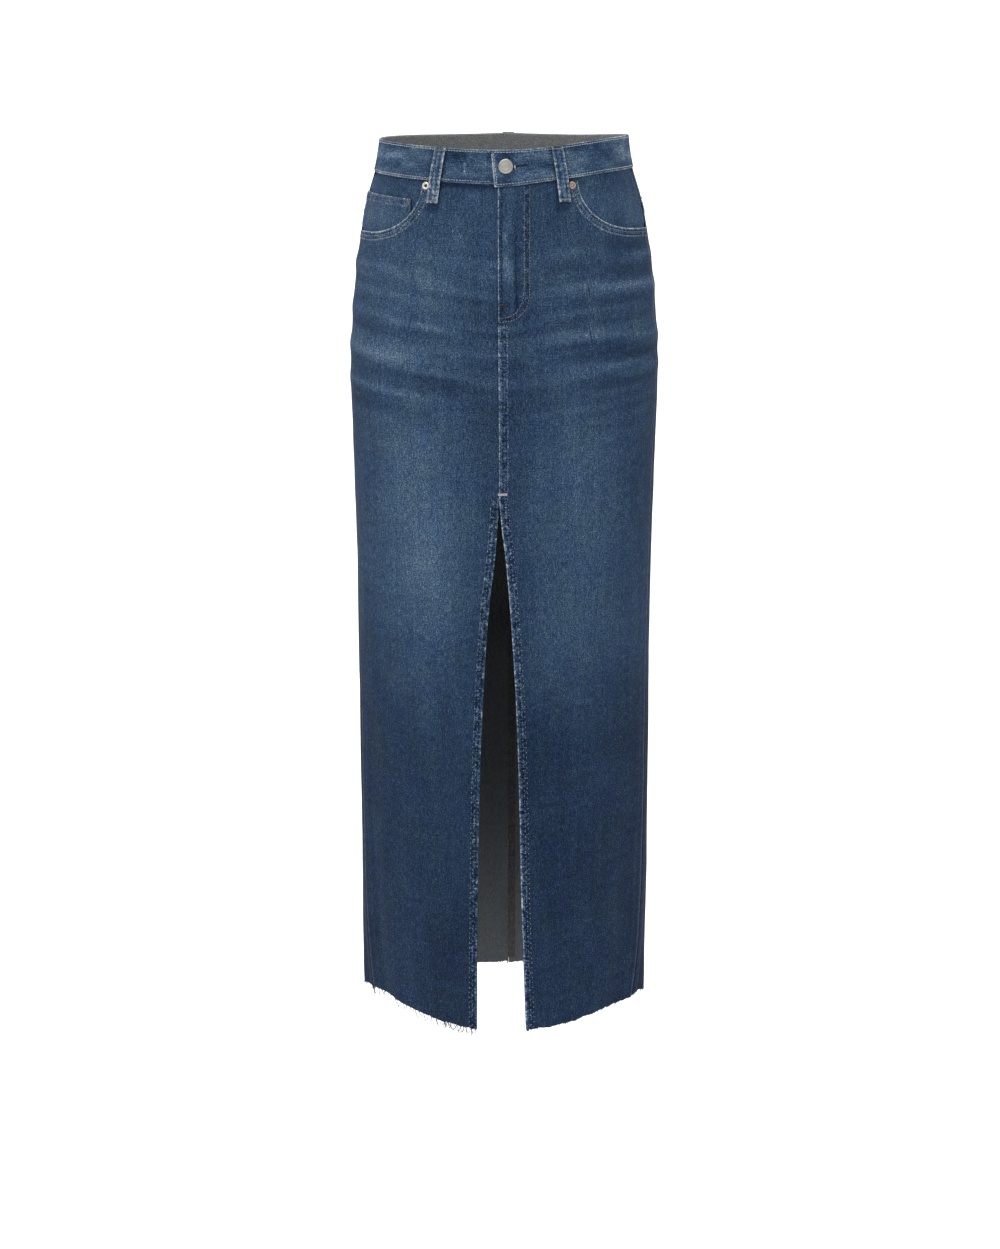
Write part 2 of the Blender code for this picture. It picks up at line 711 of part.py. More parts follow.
def belt_loop(loop, material):
    """A folded strip, fixed over the waistband's top edge and below its seam, loose between."""

    def turn(z):
        return half_length(z) if loop.from_back else 0

    top_s = turn(0) + loop.at_top
    top, seam = band_top(top_s) - 0.6, waist_seam(top_s)
    bottom = seam - LOOP_BELOW_SEAM

    def underside(s, z):
        on_band = between(seam - 6, seam + 1, z)
        share = min(1.0, max(0.0, (top - z) / (top - bottom)))
        stand_off = LOOP_STAND_OFF * math.sin(math.pi * share) ** 0.8
        return CLOTH / 2 + on_band * (BAND_OUTSIDE - CLOTH / 2 + band_lift(s)) + stand_off + 2 * GAP

    columns = []
    for across in (-0.5, 0, 0.5):
        column = []
        for share in (0, 0.10, 0.30, 0.48, 0.58, 0.64, 0.76, 0.90, 1):
            z = top + (bottom - top) * share
            lean = loop.at_top + (loop.at_bottom - loop.at_top) * share
            column.append((turn(z) + lean + across * LOOP_WIDTH, z))
        columns.append(column)
    cloth_wall(loop.name, material, columns, lambda s, z: underside(s, z) + LOOP, underside)


# ---------------------------------------------------------------- the skirt


def clear_scene():
    for old in list(bpy.data.objects):
        bpy.data.objects.remove(old, do_unlink=True)


def main():
    clear_scene()
    denim = cloth_material("denim", DENIM)
    worn = cloth_material("denim_worn", DENIM_WORN)
    tape = cloth_material("zip_tape", ZIP_TAPE)
    steel = cloth_material("button_metal", BUTTON_METAL, 0.38, 1.0)
    copper = cloth_material("rivet_metal", RIVET_METAL, 0.35, 1.0)

    front_right(denim)
    front_left(denim)
    for name, side in (("right", -1), ("left", 1)):
        back_panel("back_" + name, side, denim)
        yoke("yoke_" + name, side, denim)
    for rivet in RIVETS:
        rivet_head(rivet, copper)
    pocket_facing("pocket_facing_left", 1, denim, -LAYER)
    pocket_facing("pocket_facing_right", -1, denim, -2 * LAYER)
    coin_pocket(worn, -LAYER)
    fly_facing(denim)
    zip_fastener(tape)
    waistband(denim)
    for loop in LOOPS:
        belt_loop(loop, worn)
    button(steel)


main()
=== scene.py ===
"""Looks of the denim skirt: fine cloth, seams, stitching, hardware and the studio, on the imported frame.

The cloth is laid on the same form as the frame's solids. A place on it is a distance s round from
the centre front (towards the wearer's left, +X) and a height z, both in millimetres here.
"""

import json
import math
from collections import namedtuple

import bpy
import numpy as np
from mathutils import Vector
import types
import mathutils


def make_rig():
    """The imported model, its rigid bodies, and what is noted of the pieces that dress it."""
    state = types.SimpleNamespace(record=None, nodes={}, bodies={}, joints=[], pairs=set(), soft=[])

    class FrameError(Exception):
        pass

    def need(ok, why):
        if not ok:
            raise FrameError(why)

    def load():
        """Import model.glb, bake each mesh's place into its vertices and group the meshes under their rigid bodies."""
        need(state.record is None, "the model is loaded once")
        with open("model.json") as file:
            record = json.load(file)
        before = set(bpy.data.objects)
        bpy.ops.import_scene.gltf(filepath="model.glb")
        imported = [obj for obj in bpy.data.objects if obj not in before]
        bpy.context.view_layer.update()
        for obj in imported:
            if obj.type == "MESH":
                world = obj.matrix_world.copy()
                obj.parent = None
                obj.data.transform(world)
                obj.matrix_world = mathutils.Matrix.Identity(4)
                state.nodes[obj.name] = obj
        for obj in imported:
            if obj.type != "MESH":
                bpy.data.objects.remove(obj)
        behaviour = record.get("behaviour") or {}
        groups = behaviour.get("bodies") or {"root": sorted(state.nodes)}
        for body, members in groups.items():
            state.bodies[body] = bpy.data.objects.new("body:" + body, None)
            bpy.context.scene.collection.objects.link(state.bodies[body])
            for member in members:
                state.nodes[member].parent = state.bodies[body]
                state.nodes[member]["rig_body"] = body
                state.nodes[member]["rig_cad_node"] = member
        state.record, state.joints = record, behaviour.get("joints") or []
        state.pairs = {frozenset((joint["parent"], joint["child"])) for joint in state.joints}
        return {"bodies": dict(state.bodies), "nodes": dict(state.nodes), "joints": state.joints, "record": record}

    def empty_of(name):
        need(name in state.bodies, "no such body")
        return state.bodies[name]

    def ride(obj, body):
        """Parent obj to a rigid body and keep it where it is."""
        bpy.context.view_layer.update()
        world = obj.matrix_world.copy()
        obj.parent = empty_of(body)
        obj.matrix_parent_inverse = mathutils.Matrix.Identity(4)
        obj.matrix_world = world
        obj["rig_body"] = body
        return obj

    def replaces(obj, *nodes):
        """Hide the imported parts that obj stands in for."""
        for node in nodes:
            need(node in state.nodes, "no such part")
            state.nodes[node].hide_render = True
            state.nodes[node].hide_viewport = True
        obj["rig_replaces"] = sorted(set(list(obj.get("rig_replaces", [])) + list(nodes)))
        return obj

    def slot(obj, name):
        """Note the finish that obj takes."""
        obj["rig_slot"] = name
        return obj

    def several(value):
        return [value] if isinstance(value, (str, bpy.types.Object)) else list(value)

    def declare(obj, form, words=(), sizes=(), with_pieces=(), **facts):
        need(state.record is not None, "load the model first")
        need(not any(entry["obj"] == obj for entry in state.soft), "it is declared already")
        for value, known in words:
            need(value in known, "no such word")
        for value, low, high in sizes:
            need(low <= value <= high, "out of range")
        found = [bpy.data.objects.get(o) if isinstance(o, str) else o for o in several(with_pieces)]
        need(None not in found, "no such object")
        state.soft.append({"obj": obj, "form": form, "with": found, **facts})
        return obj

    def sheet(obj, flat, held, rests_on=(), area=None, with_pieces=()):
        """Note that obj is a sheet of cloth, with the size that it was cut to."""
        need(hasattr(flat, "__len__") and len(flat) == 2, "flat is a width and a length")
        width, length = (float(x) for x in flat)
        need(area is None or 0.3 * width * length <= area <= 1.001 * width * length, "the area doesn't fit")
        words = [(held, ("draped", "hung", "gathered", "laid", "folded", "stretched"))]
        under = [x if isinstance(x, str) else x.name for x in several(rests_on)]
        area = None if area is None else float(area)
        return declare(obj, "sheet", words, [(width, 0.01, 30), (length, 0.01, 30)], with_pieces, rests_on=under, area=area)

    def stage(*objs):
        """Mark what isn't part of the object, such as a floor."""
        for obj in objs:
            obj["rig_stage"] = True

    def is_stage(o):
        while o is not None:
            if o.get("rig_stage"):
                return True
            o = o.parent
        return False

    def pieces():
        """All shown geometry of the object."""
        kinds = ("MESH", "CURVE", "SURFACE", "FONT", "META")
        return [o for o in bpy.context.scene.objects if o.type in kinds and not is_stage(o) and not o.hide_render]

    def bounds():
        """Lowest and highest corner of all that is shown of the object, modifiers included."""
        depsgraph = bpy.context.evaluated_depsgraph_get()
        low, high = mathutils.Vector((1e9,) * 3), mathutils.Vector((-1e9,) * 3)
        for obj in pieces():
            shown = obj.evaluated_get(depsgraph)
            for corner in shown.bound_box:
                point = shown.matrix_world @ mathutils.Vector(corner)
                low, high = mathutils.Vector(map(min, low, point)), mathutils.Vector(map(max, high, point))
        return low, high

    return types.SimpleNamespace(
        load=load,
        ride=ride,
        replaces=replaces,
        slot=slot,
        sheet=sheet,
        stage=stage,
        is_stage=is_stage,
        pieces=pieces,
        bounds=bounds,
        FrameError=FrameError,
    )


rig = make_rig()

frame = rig.load()
CAD_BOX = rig.bounds()
MM = 0.001
SIDES = ((-1, "right"), (1, "left"))  # the wearer's, with the sign of s on each

# ---------------------------------------------------------------- the form, as in part.py, in mm

Section = namedtuple("Section", "height half_width front_depth back_depth front_power back_power")
SECTIONS = (
    Section(34, 135.5, 97, 90, 2.05, 2.05),
    Section(0, 140.5, 100, 95, 2.05, 2.05),
    Section(-40, 152.0, 105, 106, 2.08, 2.05),
    Section(-85, 160.0, 109, 118, 2.10, 2.05),
    Section(-150, 168.0, 113, 128, 2.12, 2.05),
    Section(-230, 171.8, 116, 130, 2.12, 2.05),
    Section(-310, 170.0, 119, 125, 2.05, 2.00),
    Section(-400, 167.6, 122, 119, 1.95, 1.95),
    Section(-520, 166.2, 126, 115, 1.80, 1.85),
    Section(-700, 166.0, 133, 114, 1.60, 1.70),
    Section(-850, 166.0, 139, 115, 1.45, 1.60),
    Section(-990, 163.5, 144, 116, 1.36, 1.52),
)
CORNER_ROUNDING = 22

BAND_TOP_FRONT, BAND_TOP_SIDE, BAND_TOP_BACK = 17, 27, 31
BAND_LEFT_RISE, BAND_HEIGHT = 5, 36.5
LAP_DROOP, LAP_DROOP_REACH = 3.5, 55
HEM_HEIGHT, HEM_SIDE_RISE_RIGHT, HEM_SIDE_RISE_LEFT = -964, 12, 8
HEM_RIGHT_RISE, HEM_BACK_STEP, HEM_BACK_DROP = 3, 1, 2
CLOTH, BAND, LOOP, GAP = 1.2, 2.6, 2.0, 0.3
LAYER = CLOTH + 1.5 * GAP
NEEDLE_PITCH = 3.0  # length of a stitch, from one needle hole to the next

SeamPlace = namedtuple("SeamPlace", "height before_widest")
SIDE_SEAM = (
    SeamPlace(0, 16),
    SeamPlace(-100, 17),
    SeamPlace(-450, 20),
    SeamPlace(-750, 21),
    SeamPlace(-900, 27),
    SeamPlace(-990, 40),
)

LAP_UNDER, CENTRE_START, CENTRE_LEAN = 8, -1.4, 2.4
SLIT_TOP, SLIT_HEM_WIDTH = -356, 9
Slit = namedtuple("Slit", "height right_edge left_edge")
SLIT = (
    Slit(SLIT_TOP, CENTRE_START + CENTRE_LEAN, CENTRE_START + CENTRE_LEAN),
    Slit(-391, -1.2, 4.2),
    Slit(-424, -3.8, 8.2),
    Slit(-469, -9.2, 12.4),
    Slit(-514, -12.9, 15.8),
    Slit(-559, -15.7, 18.7),
    Slit(-604, -17.9, 21.0),
    Slit(-696, -21.2, 24.2),
    Slit(-812, -23.2, 27.3),
    Slit(-930, -24.8, 32.6),
    Slit(-990, -25.2, 35.0),
)

FLY_WIDTH, FLY_LENGTH, FLY_ROUND, FLY_SQUARENESS = 35, 147, 40, 2.6
SCOOP_START, SCOOP_WIDTH, SCOOP_DEPTH, SCOOP_SIDE_DROP = 86, 72, 61.5, 3
FACING_REACH, SEAM_ALLOWANCE = 26, 9
COIN_TOP, COIN_DEPTH, COIN_INNER, COIN_OUTER = 21.5, 72, 101, 173
YOKE_SIDE, YOKE_CENTRE = 38, 72
LOOP_WIDTH, LOOP_BELOW_SEAM, LOOP_STAND_OFF = 12.6, 23, 1.8
Loop = namedtuple("Loop", "name at_top at_bottom from_back")
LOOPS = (
    Loop("belt_loop_front_right", -64, -73.7, False),
    Loop("belt_loop_front_left", 61.5, 71.5, False),
    Loop("belt_loop_back_left", -98, -100, True),
    Loop("belt_loop_back_right", 98, 100, True),
    Loop("belt_loop_centre_back", 0, 0, True),
)
BAND_OVERLAP, BAND_UNDERLAP, BAND_END_SLANT = 9, 30, 4.7
BUTTON_AT, BUTTON_ABOVE_MIDDLE = 7, 0.5
Rivet = namedtuple("Rivet", "name at below_seam")
RIVETS = (Rivet("rivet_right", -81.8, 5.6), Rivet("rivet_left", 79.6, 7.4))

Fold = namedtuple("Fold", "start end height droop size spread")
FOLDS = (
    Fold(-255, -60, -106, 10, 2.2, 9),
    Fold(-250, -40, -152, 30, 1.6, 10),
    Fold(-262, -20, -192, 34, 2.4, 11),
    Fold(-258, -70, -232, 22, 1.5, 10),
    Fold(48, 240, -100, -6, 1.5, 9),
    Fold(40, 258, -133, -4, 2.2, 9),
    Fold(36, 262, -190, -8, 2.4, 10),
    Fold(30, 260, -221, -5, 2.0, 9),
    Fold(-430, -300, -150, -14, 1.8, 12),
    Fold(300, 430, -178, 16, 1.8, 12),
    Fold(-400, -285, -214, 10, 1.6, 12),
    Fold(290, 420, -232, -12, 1.6, 12),
)
Trough = namedtuple("Trough", "side off_seam top bottom size spread")
TROUGHS = (
    Trough(-1, 15, -620, -1000, 2.6, 9),
    Trough(1, 17, -700, -1000, 2.8, 9),
    Trough(-1, -30, -560, -1000, 2.4, 14),
    Trough(1, -34, -600, -1000, 2.2, 14),
)


def between(low, high, x):
    """0 below low, 1 above high, and a smooth rise from one to the other."""
    t = np.clip((np.asarray(x, float) - low) / (high - low), 0, 1)
    return t * t * (3 - 2 * t)


def bump(x, centre, spread):
    """A bell of height 1."""
    return np.exp(-(((np.asarray(x, float) - centre) / spread) ** 2))


def soft_noise(x, y, cell_x, cell_y, seed):
    """Smooth random values from -1 to 1, with hills about a cell wide."""
    lattice = np.random.default_rng(seed).uniform(-1, 1, (97, 89))
    u, v = np.asarray(x, float) / cell_x, np.asarray(y, float) / cell_y
    i, j = np.floor(u).astype(int), np.floor(v).astype(int)
    a, b = u - i, v - j
    a, b = a * a * (3 - 2 * a), b * b * (3 - 2 * b)

    def corner(di, dj):
        return lattice[(i + di) % 97, (j + dj) % 89]

    near = corner(0, 0) * (1 - a) + corner(1, 0) * a
    far = corner(0, 1) * (1 - a) + corner(1, 1) * a
    return near * (1 - b) + far * b


def smooth_table(rows, height):
    """The rows' other columns at one height, on a smooth curve through the table."""
    heights = np.array([row[0] for row in rows], float)
    values = np.array([row[1:] for row in rows], float)
    slopes = np.gradient(values, heights, axis=0)
    z = min(max(height, heights.min()), heights.max())
    i = min(max(int(np.searchsorted(-heights, -z)) - 1, 0), len(rows) - 2)
    step = heights[i + 1] - heights[i]
    t = (z - heights[i]) / step
    return (
        (1 + 2 * t) * (1 - t) ** 2 * values[i]
        + t * (1 - t) ** 2 * step * slopes[i]
        + t * t * (3 - 2 * t) * values[i + 1]
        + t * t * (t - 1) * step * slopes[i + 1]
    )


def ring(height):
    """The section at a height: points, distance round, quarter and half of the way round."""
    half_width, front, back, front_power, back_power = smooth_table(SECTIONS, height)
    turn = np.linspace(0, 2 * math.pi, 1441)[:-1]
    sine, cosine = np.sin(turn), np.cos(turn)
    power = np.where(cosine > 0, front_power, back_power)
    depth = np.where(cosine > 0, front, back)
    x = half_width * np.sign(sine) * np.abs(sine) ** (2 / power)
    y = -depth * np.sign(cosine) * np.abs(cosine) ** (2 / power)
    closed = np.column_stack([np.append(x, x[0]), np.append(y, y[0])])
    along = np.append(0, np.cumsum(np.linalg.norm(np.diff(closed, axis=0), axis=1)))
    count = 720
    even = np.linspace(0, along[-1], count, endpoint=False)
    points = np.column_stack([np.interp(even, along, closed[:, k]) for k in (0, 1)])
    reach = int(round(CORNER_ROUNDING / along[-1] * count))
    weights = np.hanning(2 * reach + 3)[1:-1]
    weights /= weights.sum()
    wrapped = np.vstack([points[-reach:], points, points[:reach]])
    points = np.column_stack([np.convolve(wrapped[:, k], weights, "valid") for k in (0, 1)])
    points[:, 0] *= half_width / np.abs(points[:, 0]).max()
    is_front = points[:, 1] < 0
    points[is_front, 1] *= front / -points[:, 1].min()
    points[~is_front, 1] *= back / points[:, 1].max()
    points = np.vstack([points, points[:1]])
    along = np.append(0, np.cumsum(np.linalg.norm(np.diff(points, axis=0), axis=1)))
    first_half = points[: count // 2, 1]
    behind = int(np.argmax(first_half > 0))
    share = first_half[behind - 1] / (first_half[behind - 1] - first_half[behind])
    quarter = along[behind - 1] + share * (along[behind] - along[behind - 1])
    return points, along, quarter, along[-1] / 2


# The form is read from a fine table of rings, so that whole grids can be placed at once.
FORM_BOTTOM, FORM_TOP = -1000.0, 45.0
RING_STEP, ROUND_STEP = 4.0, 2.0
RING_HEIGHTS = np.arange(FORM_BOTTOM, FORM_TOP, RING_STEP)
ROUND = np.arange(-560.0, 980.0, ROUND_STEP)
PLACES = np.empty((len(RING_HEIGHTS), len(ROUND), 3))
QUARTERS, HALVES = np.empty(len(RING_HEIGHTS)), np.empty(len(RING_HEIGHTS))
for level, ring_height in enumerate(RING_HEIGHTS):
    ring_points, ring_along, QUARTERS[level], HALVES[level] = ring(ring_height)
    around = np.mod(ROUND, 2 * HALVES[level])
    PLACES[level, :, 0] = np.interp(around, ring_along, ring_points[:, 0])
    PLACES[level, :, 1] = np.interp(around, ring_along, ring_points[:, 1])
    PLACES[level, :, 2] = ring_height
WAYS_OUT = np.cross(np.gradient(PLACES, axis=1), np.gradient(PLACES, axis=0))
WAYS_OUT /= np.linalg.norm(WAYS_OUT, axis=2, keepdims=True)


def read_form(table, s, z):
    """Values of a table over the form, at places between its points."""
    u = np.clip((np.asarray(z, float) - RING_HEIGHTS[0]) / RING_STEP, 0, len(RING_HEIGHTS) - 1.001)
    v = np.clip((np.asarray(s, float) - ROUND[0]) / ROUND_STEP, 0, len(ROUND) - 1.001)
    i, j = u.astype(int), v.astype(int)
    a, b = (u - i)[..., None], (v - j)[..., None]
    low = table[i, j] * (1 - b) + table[i, j + 1] * b
    high = table[i + 1, j] * (1 - b) + table[i + 1, j + 1] * b
    return low * (1 - a) + high * a


def half_length(z):
    return np.interp(z, RING_HEIGHTS, HALVES)


SEAM_HEIGHTS = np.arange(FORM_BOTTOM, FORM_TOP, 5.0)
BEFORE_WIDEST = np.array([smooth_table(SIDE_SEAM, h)[0] for h in SEAM_HEIGHTS])
SLIT_HEIGHTS = np.arange(FORM_BOTTOM, SLIT_TOP + 1.0, 4.0)
SLIT_EDGES = np.array([smooth_table(SLIT, h) for h in SLIT_HEIGHTS])


def side_seam(z):
    quarter = np.interp(z, RING_HEIGHTS, QUARTERS)
    return quarter - np.interp(z, SEAM_HEIGHTS, BEFORE_WIDEST)


def fold_crests(s, z):
    """Each fold, how far it has risen at a place along it, and the height above its crest."""
    for fold in FOLDS:
        share = np.clip((s - fold.start) / (fold.end - fold.start), 0, 1)
        crest = fold.height - fold.droop * (share if fold.start < 0 else 1 - share)
        yield fold, np.sin(math.pi * share), z - crest


def folds(s, z):
    """How far the cloth's folds and ripples push it out."""
    total = np.zeros(np.broadcast(s, z).shape)
    for fold, rise, above_crest in fold_crests(s, z):
        total += fold.size * bump(above_crest, 0, fold.spread) * rise**0.7
    for trough in TROUGHS:
        away = s * trough.side - side_seam(z) - trough.off_seam
        deep = between(trough.top, trough.top - 260, z)
        total -= trough.size * deep * bump(away, 0, trough.spread)
    free = between(-10, -70, z)
    ripples = 0.55 * soft_noise(s, z, 48, 90, 11) + 0.22 * soft_noise(s, z, 17, 26, 12)
    return total + free * ripples


def skin(s, z, out):
    """Points in metres that lie out from the cloth's middle surface."""
    s, z, out = np.broadcast_arrays(np.asarray(s, float), z, out)
    half = half_length(z)
    signed = np.mod(s + half, 2 * half) - half
    lift = (out + folds(signed, z))[..., None]
    return (read_form(PLACES, s, z) + read_form(WAYS_OUT, s, z) * lift) * MM


def band_top(s):
    half = float(half_length(0))
    share = np.abs(np.mod(np.asarray(s, float) + half, 2 * half) - half) / half
    climb = BAND_TOP_BACK - BAND_TOP_FRONT
    side_rise = BAND_TOP_SIDE - BAND_TOP_FRONT - climb * 0.5**1.5
    left_front = between(10, 135, s) * (1 - between(145, 300, s))
    height = BAND_TOP_FRONT + climb * share**1.5
    height = height + (1 - np.cos(2 * math.pi * share)) / 2 * side_rise
    return height + BAND_LEFT_RISE * left_front


def lap_droop(run):
    """How far the waistband's buttoned end hangs below the line of the waist seam."""
    return LAP_DROOP * (1 - between(-BAND_OVERLAP, LAP_DROOP_REACH, run))


def waist_seam(s):
    return band_top(s) - BAND_HEIGHT


def left_seam(s):
    """The waist seam on the wearer's left, down to which the buttoned end hangs."""
    return waist_seam(s) - lap_droop(s)


def centre_front(z):
    return CENTRE_START + CENTRE_LEAN * between(0, SLIT_TOP, z)


def slit_edge(z, side):
    return np.interp(z, SLIT_HEIGHTS, SLIT_EDGES[:, 0 if side < 0 else 1])


def lap_lift(s, z):
    """How far the wearer's left front stands out where it lies on the right front."""
    across = 1 - between(LAP_UNDER + 3, LAP_UNDER + 17, s - centre_front(z))
    return (CLOTH + GAP) * across * between(SLIT_TOP - 70, SLIT_TOP - 4, z)


def scoop_height(s, seam_height):
    reach = np.abs(s) - SCOOP_START
    share = np.clip(reach / SCOOP_WIDTH, 0, 1)
    side_drop = SCOOP_SIDE_DROP * between(0.7 * SCOOP_WIDTH, 1.4 * SCOOP_WIDTH, reach)
    return seam_height - SCOOP_DEPTH * np.sqrt(1 - (1 - share) ** 2) - side_drop


def hem(s):
    """Height of the raw edge, which is a little uneven."""
    seam = side_seam(HEM_HEIGHT)
    away = np.abs(s) - seam
    near_seam = between(-0.65 * seam, 0, away) * (1 - between(0, 0.7 * seam, away))
    rise = np.where(s < 0, HEM_SIDE_RISE_RIGHT, HEM_SIDE_RISE_LEFT) + HEM_BACK_STEP * (away > 0)
    right_front = HEM_RIGHT_RISE * ((s < 0) & (away < 0)) * between(0, 60, -s)
    back_drop = HEM_BACK_DROP * between(0, 0.7 * seam, away)
    uneven = 1.0 * soft_noise(s, 0, 23, 1, 31) + 0.7 * soft_noise(s, 0, 5, 1, 32)
    uneven = uneven + 0.4 * soft_noise(s, 0, 1.7, 1, 33)
    return HEM_HEIGHT + rise * near_seam + right_front - back_drop + uneven


def yoke_seam(s):
    seam, half = side_seam(-50), half_length(-50)
    share = (np.abs(s) - seam) / (half - seam)
    return waist_seam(s) - YOKE_SIDE - (YOKE_CENTRE - YOKE_SIDE) * share


# ---------------------------------------------------------------- wear of the cloth, and its painted light and shade

BASE_FADE = 0.42


def edge_wear(distance, width, seed, s, z):
    """Wear that runs along an edge, patchy."""
    patchy = 0.85 + 0.35 * soft_noise(s, z, 9, 9, seed)
    return np.exp(-np.maximum(distance, 0) / width) * patchy


def fold_wear_and_shading(s, z):
    """The folds' rubbed crests with a painted highlight along them, and painted shade below them where they shade the
    cloth.
    """
    total = 0
    ragged = 0.85 + 0.5 * soft_noise(s, z, 60, 12, 44)
    crisp = 0.7 + 0.7 * soft_noise(s, z, 26, 9, 47)
    for fold, rise, above_crest in fold_crests(s, z):
        # each crest: rubbed lighter, a narrow painted highlight along it, and painted shade below it
        lightness_change = 0.085 * ragged * bump(above_crest, 2, fold.spread * 0.62)
        lightness_change = lightness_change + 0.05 * crisp * bump(above_crest, 4, fold.spread * 0.26)
        lightness_change = lightness_change - 0.085 * bump(above_crest, -13, fold.spread * 0.9)
        total = total + fold.size / 2 * rise**0.6 * lightness_change
    creased = between(-80, -110, z) * (1 - between(-230, -310, z))
    return total + (0.012 + 0.065 * creased) * soft_noise(s, z - 0.12 * np.abs(s), 80, 7, 46)


# Places on the main panels that are lighter or darker than the cloth round them.
Patch = namedtuple("Patch", "at reach height spread amount")
PATCHES = (
    Patch(-130, 34, -140, 36, 0.056),
    Patch(130, 50, -145, 36, -0.028),
    # painted shadow below the left pocket's edge
    Patch(150, 40, -88, 11, -0.12),
    Patch(0, 60, -310, 60, -0.014),
)


def panel_fade_and_shading(s, z):
    """How light the main panels are, from 0 for dark to 1 for white: wash and wear, darker towards the hem, and painted
    light and shade along the folds, towards the side seams and below the left pocket.
    """
    right = s < 0
    fade = BASE_FADE + np.zeros(np.broadcast(s, z).shape)
    across = bump(np.abs(s), 96, 56) + 0.8 * bump(np.abs(s), 330, 80)
    thigh = between(-190, -330, z) * (1 - between(-420, -660, z))
    fade += np.where(right, 0.155, 0.118) * across * thigh
    fade += 0.05 * across * between(-60, -120, z) * (1 - thigh) * (1 - between(-600, -800, z))
    fade -= 0.018 + 0.105 * between(-500, -780, z)
    fade += 0.045 * between(-170, -130, z) - 0.012 * np.sign(s) * between(-560, -480, z)
    fade -= 0.05 * bump(s, 0, 24) * between(-230, -300, z) * (1 - between(-520, -700, z))
    fade -= np.where(right, 0.032, 0.092) * bump(z, -634, 72) + 0.02 * right * bump(z, -520, 60)
    # painted shade where the panels turn away from the light towards the side seams
    fade -= 0.05 * bump(np.abs(s), side_seam(z) - 4, 18)
    fade += 0.05 * bump(z, -150, 75) * between(20, 60, np.abs(s))
    for patch in PATCHES:
        fade += patch.amount * bump(s, patch.at, patch.reach) * bump(z, patch.height, patch.spread)
    fade += fold_wear_and_shading(s, z)
    fade += 0.035 * soft_noise(s, z, 60, 110, 41) + 0.022 * soft_noise(s, z, 15, 34, 42)
    return fade + 0.022 * soft_noise(s, z, 3.0, 40, 43) + 0.012 * soft_noise(s, z, 22, 2.6, 45)


# ---------------------------------------------------------------- materials


def srgb(red, green, blue):
    """A linear colour from display values of 0 to 255."""
    linear = [((c / 255 + 0.055) / 1.055) ** 2.4 if c > 10 else c / 3300 for c in (red, green, blue)]
    return tuple(linear) + (1.0,)


LIGHT_ON_CLOTH = 1.38  # how much brighter than its dye the studio shows the cloth


def dye(red, green, blue):
    """The cloth's own colour, from how it looks in the studio."""
    return tuple(c / LIGHT_ON_CLOTH for c in srgb(red, green, blue)[:3]) + (1.0,)


def dyes(shares, *colours):
    """The stops of a colour ramp, from the darkest dye to the most worn."""
    return [(share, dye(*colour)) for share, colour in zip(shares, colours)]


FRONT_SHARES, REVERSE_SHARES = (0, 0.20, 0.35, 0.50, 0.65, 0.80, 1), (0, 0.35, 0.70, 1)
INDIGO = dyes(
    FRONT_SHARES,
    *((12, 20, 38), (23, 37, 63), (35, 54, 83), (54, 78, 110)),
    *((79, 104, 134), (124, 142, 163), (208, 212, 216)),
)
INDIGO_GREENISH = dyes(
    FRONT_SHARES,
    *((13, 23, 35), (25, 40, 59), (37, 57, 78), (57, 81, 105)),
    *((83, 108, 130), (128, 145, 159), (208, 212, 214)),
)
REVERSE = dyes(REVERSE_SHARES, (46, 50, 56), (78, 84, 92), (112, 118, 124), (180, 182, 184))
REVERSE_BROWNISH = dyes(REVERSE_SHARES, (46, 48, 48), (80, 83, 84), (114, 117, 116), (180, 180, 176))


class Nodes:
    """Short calls for building a material's node tree."""

    def __init__(self, name):
        self.material = bpy.data.materials.new(name)
        self.material.use_nodes = True
        self.tree = self.material.node_tree
        self.shader = self.tree.nodes["Principled BSDF"]

    def add(self, kind, **settings):
        node = self.tree.nodes.new(kind)
        for key, value in settings.items():
            setattr(node, key, value)
        return node

    def link(self, source, target):
        self.tree.links.new(source, target)

    def attribute(self, name):
        return self.add("ShaderNodeAttribute", attribute_name=name)

    def scaled(self, vector, scale):
        mapping = self.add("ShaderNodeMapping")
        mapping.inputs["Scale"].default_value = scale
        self.link(vector, mapping.inputs["Vector"])
        return mapping.outputs[0]

    def noise(self, vector, scale, detail=2.0, roughness=0.55):
        made = self.add("ShaderNodeTexNoise")
        self.link(self.scaled(vector, scale), made.inputs["Vector"])
        made.inputs["Scale"].default_value = 1.0
        made.inputs["Detail"].default_value = detail
        made.inputs["Roughness"].default_value = roughness
        return made.outputs["Fac"]

    def math(self, operation, first, second, third=None):
        made = self.add("ShaderNodeMath", operation=operation)
        for socket, value in zip(made.inputs, (first, second, third)):
            if isinstance(value, (int, float)):
                socket.default_value = value
            elif value is not None:
                self.link(value, socket)
        return made.outputs[0]

    def add_weighted(self, base, value, weight, middle=0.5):
        """base + (value - middle) * weight"""
        moved = self.math("MULTIPLY", self.math("SUBTRACT", value, middle), weight)
        return self.math("ADD", base, moved)

    def ramp(self, value, stops):
        made = self.add("ShaderNodeValToRGB")
        elements = made.color_ramp.elements
        elements[0].position, elements[0].color = stops[0]
        elements[1].position, elements[1].color = stops[-1]
        for position, colour in stops[1:-1]:
            elements.new(position).color = colour
        self.link(value, made.inputs[0])
        return made.outputs[0]

    def blend(self, factor, first, second):
        made = self.add("ShaderNodeMix", data_type="RGBA")
        self.link(factor, made.inputs["Factor"])
        self.link(first, made.inputs["A"])
        self.link(second, made.inputs["B"])
        return made.outputs["Result"]

    def surface(self, roughness, specular):
        self.shader.inputs["Roughness"].default_value = roughness
        self.shader.inputs["Specular IOR Level"].default_value = specular

    def bump(self, height, strength, distance):
        made = self.add("ShaderNodeBump")
        made.inputs["Strength"].default_value = strength
        made.inputs["Distance"].default_value = distance
        self.link(height, made.inputs["Height"])
        self.link(made.outputs[0], self.shader.inputs["Normal"])


